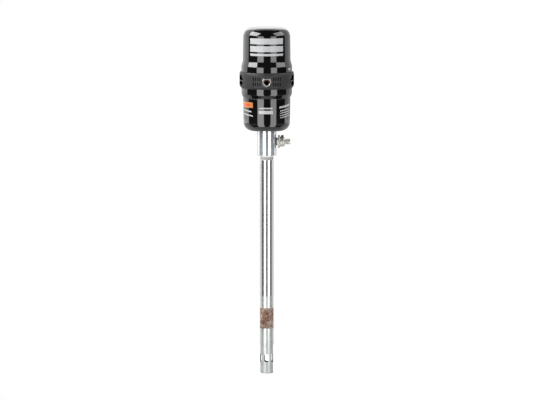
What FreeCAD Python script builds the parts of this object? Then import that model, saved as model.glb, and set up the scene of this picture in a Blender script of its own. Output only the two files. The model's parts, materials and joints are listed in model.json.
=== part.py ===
import FreeCAD, Part
import math
import os
import re
import Sketcher

# Pneumatic grease pump for drums, hung by its outlet body on the drum cover.
# +Z runs up the pump's axis and z = 0 is the underside of the outlet body.
# The air inlet faces -Y and the grease outlet faces +X.
# The reciprocating parts are drawn at the top of their stroke.

Vector = FreeCAD.Vector
doc = FreeCAD.newDocument("GreasePump")

# Driving sizes in millimetres and degrees.
sizes = {
    # motion
    "stroke": 60,
    "spool_travel": 6,
    "foot_valve_lift": 3.2,
    "ball_lift": 3,
    # fits, as radial gaps
    "thread_gap": 0.06,
    "running_gap": 0.1,
    "slide_gap": 0.3,
    "stop_gap": 0.3,
    "seal_gap": 0.1,
    "rest_gap": 0.05,
    "film_gap": 0.01,
    "ball_gap": 0.02,
    "edge_bevel": 1,
    # outlet body
    "collar_od": 42,
    "collar_length": 55.2,
    "collar_chamfer": 0.8,
    "seat_recess_od": 31,
    "seat_recess_depth": 0.5,
    "tube_thread_od": 28,
    "tube_thread_length": 20,
    "chamber_od": 25,
    "chamber_top": 40,
    "packing_web": 4,
    "packing_od": 28,
    "packing_length": 12,
    "neck_od": 36,
    "outlet_height": 30.4,
    "gland_set": 0.5,
    "packing_crown": 1,
    "packing_notch": 0.6,
    "spanner_slot_count": 4,
    "spanner_slot_length": 4,
    "spanner_slot_width": 2.4,
    "spanner_slot_depth": 2,
    "wiper_recess_depth": 3,
    "wiper_recess_width": 2.4,
    # cylinder base and air cylinder
    "floor_wall": 4,
    "base_thickness": 7.3,
    "base_foot_od": 60,
    "cylinder_bore": 80,
    "cylinder_wall": 3,
    "spigot_depth": 2,
    # air piston and its bumpers
    "piston_thickness": 14,
    "piston_recess_od": 18,
    "piston_recess_depth": 6,
    "piston_seal_height": 4,
    "piston_seal_depth": 3,
    "bumper_thickness": 3,
    "bumper_od": 66,
    "bumper_bore": 54,
    "end_gap": 1,
    "piston_rod_od": 20,
    "piston_rod_bore": 11,
    "rod_socket_depth": 4,
    "rod_socket_od": 16,
    "coupling_length": 16,
    "coupling_thread_od": 10,
    "coupling_thread_length": 6,
    "thread_run_out": 1,
    "rod_joint_length": 7,
    "rod_end_drop": 4,
    # lower cover and casting skirt
    "cover_gap": 3.5,
    "cover_wall": 4.2,
    "cover_taper": 1.2,
    "lower_cover_fillet": 19,
    "lower_cover_inner_fillet": 14,
    "cover_neck_wall": 2.5,
    "cover_thread_length": 15.4,
    "head_recess": 4,
    "skirt_ledge": 5.5,
    "skirt_taper_height": 8,
    "skirt_rise": 1.4,
    "skirt_fillet": 5,
    "seam_depth": 0.7,
    "seam_height": 1.1,
    # valve casting
    "casting_step": 1,
    "ring_height": 36.1,
    "cap_spigot_inset": 3,
    "cap_spigot_wall": 4,
    "cap_spigot_height": 7.5,
    "cap_ring_section": 1.5,
    "head_ring_section": 1.6,
    "head_ring_gap": 0.2,
    "sleeve_od": 24,
    "sleeve_bore": 14,
    "sleeve_groove_depth": 1.5,
    "sleeve_groove_width": 2.2,
    "sleeve_ring_section": 1.5,
    "sleeve_hole_count": 4,
    "sleeve_hole_od": 3,
    "port_pitch": 9.5,
    "groove_rest": 0.02,
    "exhaust_port_od": 10,
    "exhaust_pocket_width": 44,
    "exhaust_pocket_height": 22,
    "exhaust_pocket_depth": 18,
    "inlet_height": 165.8,
    "bushing_od": 17,
    "bushing_step": 1.5,
    "bushing_reach": 12,
    # silencer ring
    "ring_depth": 10,
    "ring_base_taper": 4,
    "ring_edge_height": 7,
    "ring_shoulder_height": 3.15,
    "ring_shoulder_inset": 1.53,
    "ring_crown_height": 1.6,
    "ring_crown_lean": 0.7,
    "ring_crown_bevel": 1,
    "ring_lip": 2,
    "ring_wall": 6,
    "panel_rise": 0.6,
    "panel_bevel": 0.8,
    "panel_root": 3,
    "panel_low_slope": 2,
    "panel_high_slope": 1,
    "panel_angle": 76,
    "panel_margin": 4,
    "vent_drop": 0.4,
    "slot_count": 4,
    "slot_width": 2.2,
    "slot_pitch": 4.8,
    "slot_first": 15.2,
    "slot_height": 8.4,
    "slot_rib": 3.2,
    "window_width": 64,
    "window_height": 24,
    "window_point": 9,
    "window_nose": 1,
    "window_rib": 2.6,
    "window_bar": 3,
    "foam_hole_gap": 0.5,
    # upper cover
    "cap_height": 98.6,
    "cap_spigot_gap": 0.8,
    "cap_wall": 4.6,
    "cap_taper": 1.1,
    "cap_inner_taper": 1,
    "cap_fillet": 20,
    "cap_inner_fillet": 16,
    "cap_roof": 5,
    "flare_lap": 0.3,
    "flare_lean": 0.2,
    "flare_height": 12.5,
    "flare_run": 12,
    "flare_shoulder_fillet": 8,
    "flare_root_fillet": 14,
    # detent on the trip rod
    "trip_rod_od": 6,
    "knob_od": 10,
    "knob_height": 6,
    "trip_spring_room": 8,
    "spring_wire": 1.2,
    "spring_turns": 4,
    "spring_gap": 0.5,
    "spring_end_gap": 0.15,
    "collar_disc_od": 12,
    "collar_disc_thickness": 2,
    "collar_drop": 1,
    "detent_od": 28,
    "detent_thickness": 3,
    "detent_nut_width": 10,
    "detent_nut_height": 3,
    "magnet_od": 33.8,
    "magnet_bore": 15,
    "magnet_thickness": 5,
    "cage_od": 54,
    "cage_floor": 5,
    "cage_lid": 3,
    "cage_screw_count": 4,
    "cage_screw_circle": 44,
    "cage_screw_od": 4,
    "cage_screw_head_od": 7,
    "cage_screw_reach": 8,
    "drill_point": 2,
    # spool
    "spool_sink": 2,
    "spool_length": 26,
    "land_pitch": 10.66,
    "spool_land": 4.8,
    "spool_waist_depth": 2.4,
    "spool_groove_depth": 1.2,
    "spool_groove_width": 1.6,
    "spool_ring_section": 1.15,
    # suction tube
    "tube_od": 30,
    "tube_bore": 25,
    "tube_length": 313.2,
    "washer_thickness": 4,
    "washer_od": 29.2,
    "lock_ring_height": 6,
    "lock_ring_od": 29.6,
    # pump barrel and plunger
    "barrel_od": 29.4,
    "barrel_bore": 20,
    "barrel_length": 72,
    "barrel_spigot_length": 36,
    "foot_thread_od": 25.8,
    "foot_thread_length": 14.6,
    "plunger_length": 36,
    "plunger_spigot_length": 14,
    "plunger_spigot_od": 13,
    "plunger_margin": 18.6,
    "plunger_land": 1.5,
    "plunger_seal_height": 5,
    "plunger_seal_depth": 2,
    "cross_hole_count": 4,
    "cross_hole_od": 4.4,
    "cross_hole_margin": 0.2,
    "outlet_hole_drop": 3,
    "passage_web": 2,
    "ball_seat_height": 2,
    "ball_od": 10,
    "ball_room_od": 13,
    "ball_seat_bore": 7,
    "connecting_rod_od": 10,
    "rod_thread_od": 8,
    "rod_thread_length": 5,
    "wrap_height": 46.2,
    "wrap_thickness": 0.35,
    # foot
    "foot_od": 30,
    "foot_bore": 24.6,
    "foot_chamfer": 1.2,
    "seat_thickness": 6,
    "seat_bore": 15,
    "foot_valve_od": 22.6,
    "foot_valve_thickness": 4,
    "valve_notch_count": 5,
    "valve_notch_od": 5,
    "valve_notch_offset": 1.2,
    "primer_rod_od": 8,
    "primer_thread_od": 6,
    "primer_thread_length": 7,
    "primer_disc_od": 23.6,
    "primer_disc_thickness": 3.5,
    "primer_nut_height": 4,
    "primer_nut_width": 10,
    "primer_gap": 1.5,
    "foot_margin": 3.3,
    "intake_count": 6,
    "intake_width": 9.4,
    "intake_height": 18.4,
    "intake_rise": 34.2,
    "intake_turn": -4,
    # outlet fittings
    "outlet_thread_od": 13,
    "outlet_bore": 7,
    "outlet_flat_depth": 0.6,
    "outlet_flat_margin": 2.5,
    "outlet_seal_od": 18,
    "outlet_seal_thickness": 1.6,
    "adapter_neck_od": 17,
    "adapter_neck_length": 3,
    "flange_nut_od": 29,
    "flange_nut_thickness": 4,
    "flange_nut_chamfer": 0.8,
    "block_length": 12,
    "block_od": 22.6,
    "block_thread_od": 14,
    "block_thread_length": 2,
    "block_shoulder_height": 3,
    "block_shoulder_inset": 4,
    "block_fillet": 2.4,
    "nipple_od": 13.157,
    "nipple_neck_od": 9.6,
    "nipple_neck_length": 2,
    "nipple_length": 9,
    "nipple_thread_length": 5,
    "bleed_offset": 5.5,
    "bleed_neck_length": 0.6,
    "bleed_od": 5,
    "bleed_depth": 6,
    "bleed_knob_od": 5.8,
    "bleed_knob_height": 2.8,
    # air inlet
    "inlet_thread_bore": 11.6,
    "inlet_depth": 14,
    "rim_mouth_width": 13.8,
    "rim_mouth_top": 6.3,
    "rim_mouth_drop": 7.2,
    "rim_band": 2.8,
    "rim_fillet": 2.4,
    "rim_proud": 1.2,
}

# Levels and diameters that follow from the driving sizes.
levels = {
    # outlet body, from its underside up
    "packing_floor": "chamber_top + packing_web",
    "gland_base": "packing_floor + packing_length",
    "cover_floor": "collar_length + floor_wall",
    "base_top": "cover_floor + base_thickness",
    # air cylinder and piston
    "cylinder_od": "cylinder_bore + 2 * cylinder_wall",
    "chamber": "stroke + piston_thickness + 2 * bumper_thickness + 2 * end_gap",
    "head": "base_top + chamber",
    "piston_top": "head - bumper_thickness - end_gap",
    "piston_base": "piston_top - piston_thickness",
    "recess_floor": "piston_top - piston_recess_depth",
    "rod_cap": "piston_base + rod_socket_depth",
    "rod_end": "chamber_top - rod_end_drop",
    # lower cover and casting
    "neck_top": "head - head_recess",
    "seam": "neck_top - cover_thread_length",
    "lower_cover_bore": "cylinder_od + 2 * cover_gap",
    "lower_cover_od": "lower_cover_bore + 2 * cover_wall",
    "lower_cover_top_od": "lower_cover_od + 2 * cover_taper",
    "cover_thread_od": "lower_cover_bore + 2 * cover_neck_wall",
    "casting_od": "cover_thread_od + 2 * casting_step",
    "skirt_od": "casting_od + 2 * skirt_ledge",
    # silencer ring and the front panel on it
    "ring_base": "head + skirt_rise",
    "ring_top": "ring_base + ring_height",
    "ring_middle": "(ring_base + ring_top) / 2",
    "ring_bore": "casting_od + 2 * slide_gap",
    "ring_od": "ring_bore + 2 * ring_depth",
    "panel_od": "ring_od + 2 * panel_rise",
    "vent_level": "ring_middle - vent_drop",
    "inlet_mouth": "panel_od / 2",
    # upper cover and the spigot that it stands on
    "cap_spigot_od": "casting_od - 2 * cap_spigot_inset",
    "cap_spigot_bore": "cap_spigot_od - 2 * cap_spigot_wall",
    "cap_bore": "cap_spigot_od + 2 * cap_spigot_gap",
    "cap_od": "cap_bore + 2 * cap_wall",
    "cap_top_od": "cap_od - 2 * cap_taper",
    "cap_inner_od": "cap_bore - 2 * cap_inner_taper",
    "cap_top": "ring_top + cap_height",
    "cap_ceiling": "cap_top - cap_roof",
    "flare_foot_od": "skirt_od + 2 * flare_lap",
    "flare_od": "flare_foot_od - 2 * flare_lean",
    "flare_shoulder": "ring_top + flare_height",
    "flare_end": "flare_shoulder + flare_run",
    # trip rod and detent
    "knob_top": "rod_cap - stroke - trip_spring_room",
    "knob_base": "knob_top - knob_height",
    "rod_bore_end": "knob_base - spool_travel - 4 * stop_gap",
    "lower_magnet_base": "ring_top + cage_floor",
    "lower_magnet_top": "lower_magnet_base + magnet_thickness",
    "detent_base": "lower_magnet_top + stop_gap + spool_travel",
    "detent_top": "detent_base + detent_thickness",
    "upper_magnet_base": "detent_top + stop_gap",
    "cage_top": "upper_magnet_base + magnet_thickness",
    "valve_middle": "(head + ring_top) / 2",
    "spool_top": "ring_top - spool_sink",
    "spool_base": "spool_top - spool_length",
    "spool_middle": "(spool_top + spool_base) / 2",
    "collar_disc_top": "head + collar_drop",
    "collar_disc_base": "collar_disc_top - collar_disc_thickness",
    # suction tube, barrel and foot, from the underside down
    "lock_ring_base": "-washer_thickness - lock_ring_height",
    "tube_end": "-tube_length",
    "barrel_top": "tube_end + barrel_spigot_length",
    "barrel_end": "tube_end - barrel_length",
    "foot_thread_end": "barrel_end - foot_thread_length",
    "valve_top": "foot_thread_end - foot_valve_lift - stop_gap / 2",
    "seat_top": "valve_top - foot_valve_thickness",
    "seat_base": "seat_top - seat_thickness",
    "primer_top": "seat_base - primer_gap",
    "primer_base": "primer_top - primer_disc_thickness",
    "primer_end": "primer_base - primer_nut_height",
    "foot_end": "primer_end - stroke - foot_margin",
    "intake_level": "foot_end + intake_rise",
    "plunger_base": "foot_thread_end + plunger_margin + stroke",
    "plunger_top": "plunger_base + plunger_length",
    "plunger_shoulder": "plunger_base + plunger_spigot_length",
    "plunger_groove": "plunger_shoulder + plunger_land",
    "passage_floor": "plunger_base + primer_thread_length + passage_web",
    "ball_seat": "plunger_shoulder + ball_seat_height",
    "ball_centre": "ball_seat + ball_gap + sqrt((ball_od / 2) ^ 2 - (ball_seat_bore / 2) ^ 2)",
    "ball_room_top": "ball_centre + ball_od / 2 + ball_lift + ball_gap",
    "piston_groove": "piston_base + (piston_thickness - piston_seal_height) / 2",
    # outlet fittings, from the pump's axis out
    "outlet_flat": "collar_od / 2 - outlet_flat_depth",
    "adapter_shoulder": "outlet_flat + outlet_seal_thickness",
    "flange_base": "adapter_shoulder + adapter_neck_length",
    "flange_top": "flange_base + flange_nut_thickness",
    "block_top": "flange_top + block_length",
    "nipple_base": "block_top + nipple_neck_length",
    "nipple_end": "nipple_base + nipple_length",
}

sheet = doc.addObject("Spreadsheet::Sheet", "Sizes")
for row, (alias, number) in enumerate(sizes.items(), 1):
    sheet.set(f"A{row}", alias)
    sheet.set(f"B{row}", str(number))
    sheet.setAlias(f"B{row}", alias)
doc.recompute()


def bound(text):
    """Turn a size in words into an expression on the sheet."""

    def swap(match):
        word = match.group(0)
        if word in sizes:
            return "Sizes." + word
        if word in levels:
            return "(" + bound(levels[word]) + ")"
        return word

    return re.sub(r"[a-z][a-z_]+", swap, str(text))


def value(text):
    """The number that a size in words has now."""
    return float(sheet.evalExpression(bound(text)))


def tie(thing, field, text):
    """Bind one property of a document object to a size in words."""
    thing.setExpression(field, bound(text))


def new_body(label):
    body = doc.addObject("PartDesign::Body", label)
    body.Label = label
    return body


def plane_of(body, role):
    return [feature for feature in body.Origin.OriginFeatures if feature.Role == role][0]


def new_sketch(body, name, role):
    sketch = body.newObject("Sketcher::SketchObject", name)
    sketch.AttachmentSupport = (plane_of(body, role), [""])
    sketch.MapMode = "FlatFace"
    return sketch


def pin_point(sketch, index, place, point):
    """Hold one point of a sketch at two sizes in words."""
    for kind, text in zip(("DistanceX", "DistanceY"), point):
        number = value(text)
        if abs(number) < 1e-9:
            axis = -2 if kind == "DistanceX" else -1
            sketch.addConstraint(Sketcher.Constraint("PointOnObject", index, place, axis))
            continue
        if number < 0:
            row = sketch.addConstraint(Sketcher.Constraint(kind, index, place, -1, 1, -number))
            text = f"-({text})"
        else:
            row = sketch.addConstraint(Sketcher.Constraint(kind, -1, 1, index, place, number))
        sketch.setExpression(f"Constraints[{row}]", bound(text))


def draw_loop(sketch, points):
    """Draw a closed run of straight lines through points given in words."""
    places = [Vector(value(across), value(up), 0) for across, up in points]
    first = sketch.GeometryCount
    count = len(points)
    for index in range(count):
        sketch.addGeometry(Part.LineSegment(places[index], places[(index + 1) % count]), False)
    for index in range(count):
        following = first + (index + 1) % count
        sketch.addConstraint(Sketcher.Constraint("Coincident", first + index, 2, following, 1))
    for index, point in enumerate(points):
        pin_point(sketch, first + index, 1, point)


def draw_circle(sketch, centre, diameter):
    """Draw a circle whose centre and diameter are given in words."""
    place = Vector(value(centre[0]), value(centre[1]), 0)
    index = sketch.addGeometry(Part.Circle(place, Vector(0, 0, 1), value(diameter) / 2), False)
    pin_point(sketch, index, 3, centre)
    row = sketch.addConstraint(Sketcher.Constraint("Diameter", index, value(diameter)))
    sketch.setExpression(f"Constraints[{row}]", bound(diameter))


def draw_rectangle(sketch, middle, width, height):
    """Draw an upright rectangle about a middle point, all given in words."""
    left, right = (f"{middle[0]} {side} ({width}) / 2" for side in "-+")
    low, high = (f"{middle[1]} {side} ({height}) / 2" for side in "-+")
    draw_loop(sketch, [(left, low), (right, low), (right, high), (left, high)])


def draw_upright_slot(sketch, level, width, height):
    """Draw a round-ended upright slot on the axis, about a level, all given in words."""
    radius = value(width) / 2
    rise = f"({height} - {width}) / 2"
    ends = (f"{level} + {rise}", f"{level} - ({rise})")
    for turn, end in zip((0, math.pi), ends):
        circle = Part.Circle(Vector(0, value(end), 0), Vector(0, 0, 1), radius)
        sketch.addGeometry(Part.ArcOfCircle(circle, turn, turn + math.pi), False)
    for side in (1, -1):
        low, high = (Vector(side * radius, value(end), 0) for end in ends[::-1])
        sketch.addGeometry(Part.LineSegment(low, high), False)
    for arc, arc_end, line, line_end in ((0, 1, 2, 2), (0, 2, 3, 2), (1, 1, 3, 1), (1, 2, 2, 1)):
        sketch.addConstraint(Sketcher.Constraint("Tangent", arc, arc_end, line, line_end))
    for arc, end in enumerate(ends):
        pin_point(sketch, arc, 3, ("0", end))
    row = sketch.addConstraint(Sketcher.Constraint("Radius", 0, radius))
    sketch.setExpression(f"Constraints[{row}]", bound(f"{width} / 2"))


def revolve(body, name, points, role="XZ_Plane", sweep=None):
    """Turn an outline of (radius, level) points about the body's own Z axis."""
    sketch = new_sketch(body, name + "Outline", role)
    draw_loop(sketch, points)
    turn = body.newObject("PartDesign::Revolution", name)
    turn.Profile = sketch
    turn.ReferenceAxis = (sketch, ["V_Axis"])
    turn.Angle = 360
    if sweep:
        turn.Midplane = True
        tie(turn, "Angle", sweep)
    return turn


def groove(body, name, points):
    """Turn an outline about the body's own Z axis and take it away."""
    sketch = new_sketch(body, name + "Outline", "XZ_Plane")
    draw_loop(sketch, points)
    cut = body.newObject("PartDesign::Groove", name)
    cut.Profile = sketch
    cut.ReferenceAxis = (sketch, ["V_Axis"])
    cut.Angle = 360
    return cut


def pad(body, name, sketch, length, middle=False, reverse=False):
    block = body.newObject("PartDesign::Pad", name)
    block.Profile = sketch
    block.Midplane = middle
    block.Reversed = reverse
    tie(block, "Length", length)
    return block


def pocket(body, name, sketch, length=None, middle=False, reverse=False):
    """Cut a sketch's outline out of a body, right through where no length is given."""
    cut = body.newObject("PartDesign::Pocket", name)
    cut.Profile = sketch
    cut.Midplane = middle
    cut.Reversed = reverse
    if length is None:
        cut.Type = "ThroughAll"
    else:
        tie(cut, "Length", length)
    return cut


def polar(body, name, feature, count):
    """Repeat a feature round the body's Z axis."""
    pattern = body.newObject("PartDesign::PolarPattern", name)
    pattern.Originals = [feature]
    pattern.Axis = (plane_of(body, "Z_Axis"), [""])
    pattern.Angle = 360
    tie(pattern, "Occurrences", count)
    body.Tip = pattern
    return pattern


def round_edges(feature, places):
    """The names of the full circles on a feature with given (diameter, level) places."""
    found = []
    for index, edge in enumerate(feature.Shape.Edges, 1):
        if not isinstance(edge.Curve, Part.Circle):
            continue
        for diameter, level in places:
            same_size = abs(edge.Curve.Radius * 2 - value(diameter)) < 1e-4
            if same_size and abs(edge.Curve.Center.z - value(level)) < 1e-4:
                found.append(f"Edge{index}")
    return found


def dress(body, kind, name, feature, places, size):
    """Fillet or chamfer the full circles of a turned feature."""
    doc.recompute()
    finish = body.newObject("PartDesign::" + kind, name)
    finish.Base = (feature, round_edges(feature, places))
    tie(finish, "Radius" if kind == "Fillet" else "Size", size)
    return finish


def turned(label, points):
    """A piece that is one turned outline."""
    body = new_body(label)
    revolve(body, label.title().replace("_", ""), points)
    return body


def tube(label, outer, inner, low, high):
    """A plain ring or sleeve: diameters and levels in words."""
    outline = [(f"({diameter}) / 2", level) for diameter, level in
               ((inner, low), (outer, low), (outer, high), (inner, high))]
    return turned(label, outline)


def seal_rings(label, places):
    """One node of separate round-section rings, each given by (inner diameter, level, section)."""
    rings = []
    for index, (inner, level, section) in enumerate(places, 1):
        ring = doc.addObject("Part::Torus", f"{label.title().replace('_', '')}{index}")
        tie(ring, "Radius1", f"({inner}) / 2 + ({section}) / 2")
        tie(ring, "Radius2", f"({section}) / 2")
        tie(ring, "Placement.Base.z", level)
        rings.append(ring)
    if len(rings) == 1:
        rings[0].Label = label
        return rings[0]
    group = doc.addObject("Part::Compound", label)
    group.Links = rings
    group.Label = label
    return group


def outward(body, level):
    """Lay a body's own Z axis along +X at a height in words."""
    body.Placement = FreeCAD.Placement(Vector(0, 0, 0), FreeCAD.Rotation(Vector(0, 1, 0), 90))
    tie(body, "Placement.Base.z", level)
    return body


# Outlet body: collar, packing chamber and threaded neck in one turning.
def make_outlet_body():
    body = new_body("outlet_body")
    rod_hole = "piston_rod_od / 2 + slide_gap"
    collar = revolve(body, "OutletBody", [
        ("tube_thread_od / 2 + thread_gap", "seat_recess_depth"),
        ("seat_recess_od / 2", "seat_recess_depth"),
        ("seat_recess_od / 2", "0"),
        ("collar_od / 2", "0"),
        ("collar_od / 2", "collar_length"),
        ("neck_od / 2", "collar_length"),
        ("neck_od / 2", "base_top"),
        ("packing_od / 2", "base_top"),
        ("packing_od / 2", "packing_floor"),
        (rod_hole, "packing_floor"),
        (rod_hole, "chamber_top"),
        ("chamber_od / 2", "chamber_top"),
        ("chamber_od / 2", "tube_thread_length"),
        ("tube_thread_od / 2 + thread_gap", "tube_thread_length"),
    ])
    edges = [("collar_od", "0"), ("collar_od", "collar_length")]
    dress(body, "Chamfer", "CollarEdges", collar, edges, "collar_chamfer")
    sketch = new_sketch(body, "OutletFlatOutline", "YZ_Plane")
    draw_circle(sketch, ("0", "outlet_height"), "outlet_seal_od + 2 * outlet_flat_margin")
    tie(sketch, "AttachmentOffset.Base.z", "outlet_flat")
    pocket(body, "OutletFlat", sketch, "outlet_flat_depth", reverse=True)
    sketch = new_sketch(body, "OutletPortOutline", "YZ_Plane")
    draw_circle(sketch, ("0", "outlet_height"), "outlet_thread_od + 2 * thread_gap")
    pocket(body, "OutletPort", sketch, "collar_od", reverse=True)


# Suction tube with its turned-down thread, seal washer and lock ring.
def make_suction_tube():
    thread = "tube_thread_od / 2"
    turned("suction_tube", [
        ("tube_bore / 2", "tube_end"),
        ("tube_od / 2", "tube_end"),
        ("tube_od / 2", "lock_ring_base"),
        (thread, "lock_ring_base"),
        (thread, "tube_thread_length"),
        ("tube_bore / 2", "tube_thread_length"),
    ])
    ring_bore = "tube_thread_od + 2 * thread_gap"
    tube("tube_seal_washer", "washer_od", ring_bore, "-washer_thickness", "seat_recess_depth")
    body = new_body("tube_lock_ring")
    ring = revolve(body, "TubeLockRing", [
        (f"({ring_bore}) / 2", "lock_ring_base"),
        ("lock_ring_od / 2", "lock_ring_base"),
        ("lock_ring_od / 2", "-washer_thickness"),
        (f"({ring_bore}) / 2", "-washer_thickness"),
    ])
    edges = [("lock_ring_od", "lock_ring_base"), ("lock_ring_od", "-washer_thickness")]
    dress(body, "Chamfer", "LockRingEdges", ring, edges, "collar_chamfer / 2")


# Pump barrel: screwed into the suction tube above and the foot sleeve below.
def make_barrel():
    turned("pump_barrel", [
        ("barrel_bore / 2", "foot_thread_end"),
        ("foot_thread_od / 2", "foot_thread_end"),
        ("foot_thread_od / 2", "barrel_end"),
        ("barrel_od / 2", "barrel_end"),
        ("barrel_od / 2", "tube_end"),
        ("tube_bore / 2 - thread_gap", "tube_end"),
        ("tube_bore / 2 - thread_gap", "barrel_top"),
        ("barrel_bore / 2", "barrel_top"),
    ])
    wrap_bore = "barrel_od + 2 * film_gap"
    tube("barrel_wrap", wrap_bore + " + 2 * wrap_thickness", wrap_bore,
         "barrel_end", "barrel_end + wrap_height")


# Foot sleeve with its ring of round-ended intake slots.
def make_foot_sleeve():
    body = new_body("foot_sleeve")
    thread = "foot_thread_od / 2 + thread_gap"
    sleeve = revolve(body, "FootSleeve", [
        ("foot_bore / 2", "foot_end"),
        ("foot_od / 2", "foot_end"),
        ("foot_od / 2", "barrel_end"),
        (thread, "barrel_end"),
        (thread, "seat_base"),
        ("foot_bore / 2", "seat_base"),
    ])
    edges = [("foot_od", "foot_end"), ("foot_bore", "foot_end")]
    dress(body, "Chamfer", "FootEdges", sleeve, edges, "foot_chamfer")
    sketch = new_sketch(body, "IntakeOutline", "XZ_Plane")
    draw_upright_slot(sketch, "intake_level", "intake_width", "intake_height")
    cut = pocket(body, "Intake", sketch, "foot_od", reverse=True)
    polar(body, "Intakes", cut, "intake_count")
    body.Placement = FreeCAD.Placement(Vector(0, 0, 0), FreeCAD.Rotation(Vector(0, 0, 1), 0))
    tie(body, "Placement.Rotation.Angle", "intake_turn")


# Foot valve: a notched ring that lifts off a pressed-in seat, round the primer rod.
def make_foot_valve():
    tube("foot_valve_seat", "foot_thread_od", "seat_bore", "seat_base", "seat_top")
    body = new_body("foot_valve")
    revolve(body, "FootValve", [
        ("primer_rod_od / 2 + running_gap", "seat_top"),
        ("foot_valve_od / 2 - edge_bevel", "seat_top"),
        ("foot_valve_od / 2", "seat_top + edge_bevel"),
        ("foot_valve_od / 2", "valve_top"),
        ("primer_rod_od / 2 + running_gap", "valve_top"),
    ])
    sketch = new_sketch(body, "ValveNotchOutline", "XY_Plane")
    draw_circle(sketch, ("foot_valve_od / 2 + valve_notch_offset", "0"), "valve_notch_od")
    notch = pocket(body, "ValveNotch", sketch, middle=True)
    polar(body, "ValveNotches", notch, "valve_notch_count")


# Primer: the rod, disc and nut that push grease up to the foot valve.
def make_primer():
    turned("primer_rod", [
        ("0", "primer_end"),
        ("primer_thread_od / 2", "primer_end"),
        ("primer_thread_od / 2", "primer_top"),
        ("primer_rod_od / 2", "primer_top"),
        ("primer_rod_od / 2", "plunger_base"),
        ("primer_thread_od / 2", "plunger_base"),
        ("primer_thread_od / 2", "plunger_base + primer_thread_length"),
        ("0", "plunger_base + primer_thread_length"),
    ])
    turned("primer_disc", [
        ("primer_thread_od / 2 + thread_gap", "primer_base"),
        ("primer_disc_od / 2 - edge_bevel", "primer_base"),
        ("primer_disc_od / 2", "primer_base + edge_bevel"),
        ("primer_disc_od / 2", "primer_top"),
        ("primer_thread_od / 2 + thread_gap", "primer_top"),
    ])
    hex_nut("primer_nut", "primer_nut_width", "primer_thread_od + 2 * thread_gap",
            "primer_end", "primer_nut_height")


def hex_nut(label, width, hole, base, height):
    """A plain hexagon nut, given by its width across flats, hole, base level and height."""
    body = new_body(label)
    sketch = new_sketch(body, label.title().replace("_", "") + "Outline", "XY_Plane")
    sides = 6
    half = 180 / sides
    corners = []
    for corner in range(sides):
        turn = half * (2 * corner + 1)
        reach = f"({width}) / 2 / cos({half} deg)"
        corners.append((f"{reach} * cos({turn} deg)", f"{reach} * sin({turn} deg)"))
    draw_loop(sketch, corners)
    draw_circle(sketch, ("0", "0"), hole)
    tie(sketch, "AttachmentOffset.Base.z", base)
    pad(body, label.title().replace("_", ""), sketch, height)
    return body


# Plunger: the delivery piston with its ball valve and cross holes.
def make_plunger():
    body = new_body("plunger")
    seal_high = "plunger_groove + plunger_seal_height"
    body_radius = "barrel_bore / 2 - slide_gap"
    groove_radius = body_radius + " - plunger_seal_depth"
    revolve(body, "Plunger", [
        ("0", "plunger_base + primer_thread_length"),
        ("primer_thread_od / 2 + thread_gap", "plunger_base + primer_thread_length"),
        ("primer_thread_od / 2 + thread_gap", "plunger_base"),
        ("plunger_spigot_od / 2", "plunger_base"),
        ("plunger_spigot_od / 2", "plunger_shoulder"),
        (body_radius, "plunger_shoulder"),
        (body_radius, "plunger_groove"),
        (groove_radius, "plunger_groove"),
        (groove_radius, seal_high),
        (body_radius, seal_high),
        (body_radius, "plunger_top"),
        ("rod_thread_od / 2 + thread_gap", "plunger_top"),
        ("rod_thread_od / 2 + thread_gap", "plunger_top - rod_thread_length"),
        ("0", "plunger_top - rod_thread_length"),
    ])
    groove(body, "BallRoom", [
        ("0", "passage_floor"),
        ("ball_seat_bore / 2", "passage_floor"),
        ("ball_seat_bore / 2", "ball_seat"),
        ("ball_room_od / 2", "ball_seat"),
        ("ball_room_od / 2", "ball_room_top"),
        ("0", "ball_room_top"),
    ])
    inlet = "passage_floor + cross_hole_od / 2 + cross_hole_margin"
    for name, level in (("Inlet", inlet), ("Outlet", "ball_room_top - outlet_hole_drop")):
        sketch = new_sketch(body, name + "HoleOutline", "XZ_Plane")
        draw_circle(sketch, ("0", level), "cross_hole_od")
        hole = pocket(body, name + "Hole", sketch)
        polar(body, name + "Holes", hole, "cross_hole_count")
    tube("plunger_seal", "barrel_bore - running_gap",
         "barrel_bore - 2 * slide_gap - 2 * plunger_seal_depth + seal_gap",
         "plunger_groove + seal_gap", seal_high + " - seal_gap")
    ball = doc.addObject("Part::Sphere", "plunger_ball")
    ball.Label = "plunger_ball"
    tie(ball, "Radius", "ball_od / 2")
    tie(ball, "Placement.Base.z", "ball_centre")
    turned("connecting_rod", [
        ("0", "plunger_top - rod_thread_length"),
        ("rod_thread_od / 2", "plunger_top - rod_thread_length"),
        ("rod_thread_od / 2", "plunger_top"),
        ("connecting_rod_od / 2", "plunger_top"),
        ("connecting_rod_od / 2", "rod_end - coupling_length"),
        ("rod_thread_od / 2", "rod_end - coupling_length"),
        ("rod_thread_od / 2", "rod_end - coupling_length + rod_joint_length"),
        ("0", "rod_end - coupling_length + rod_joint_length"),
    ])


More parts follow.
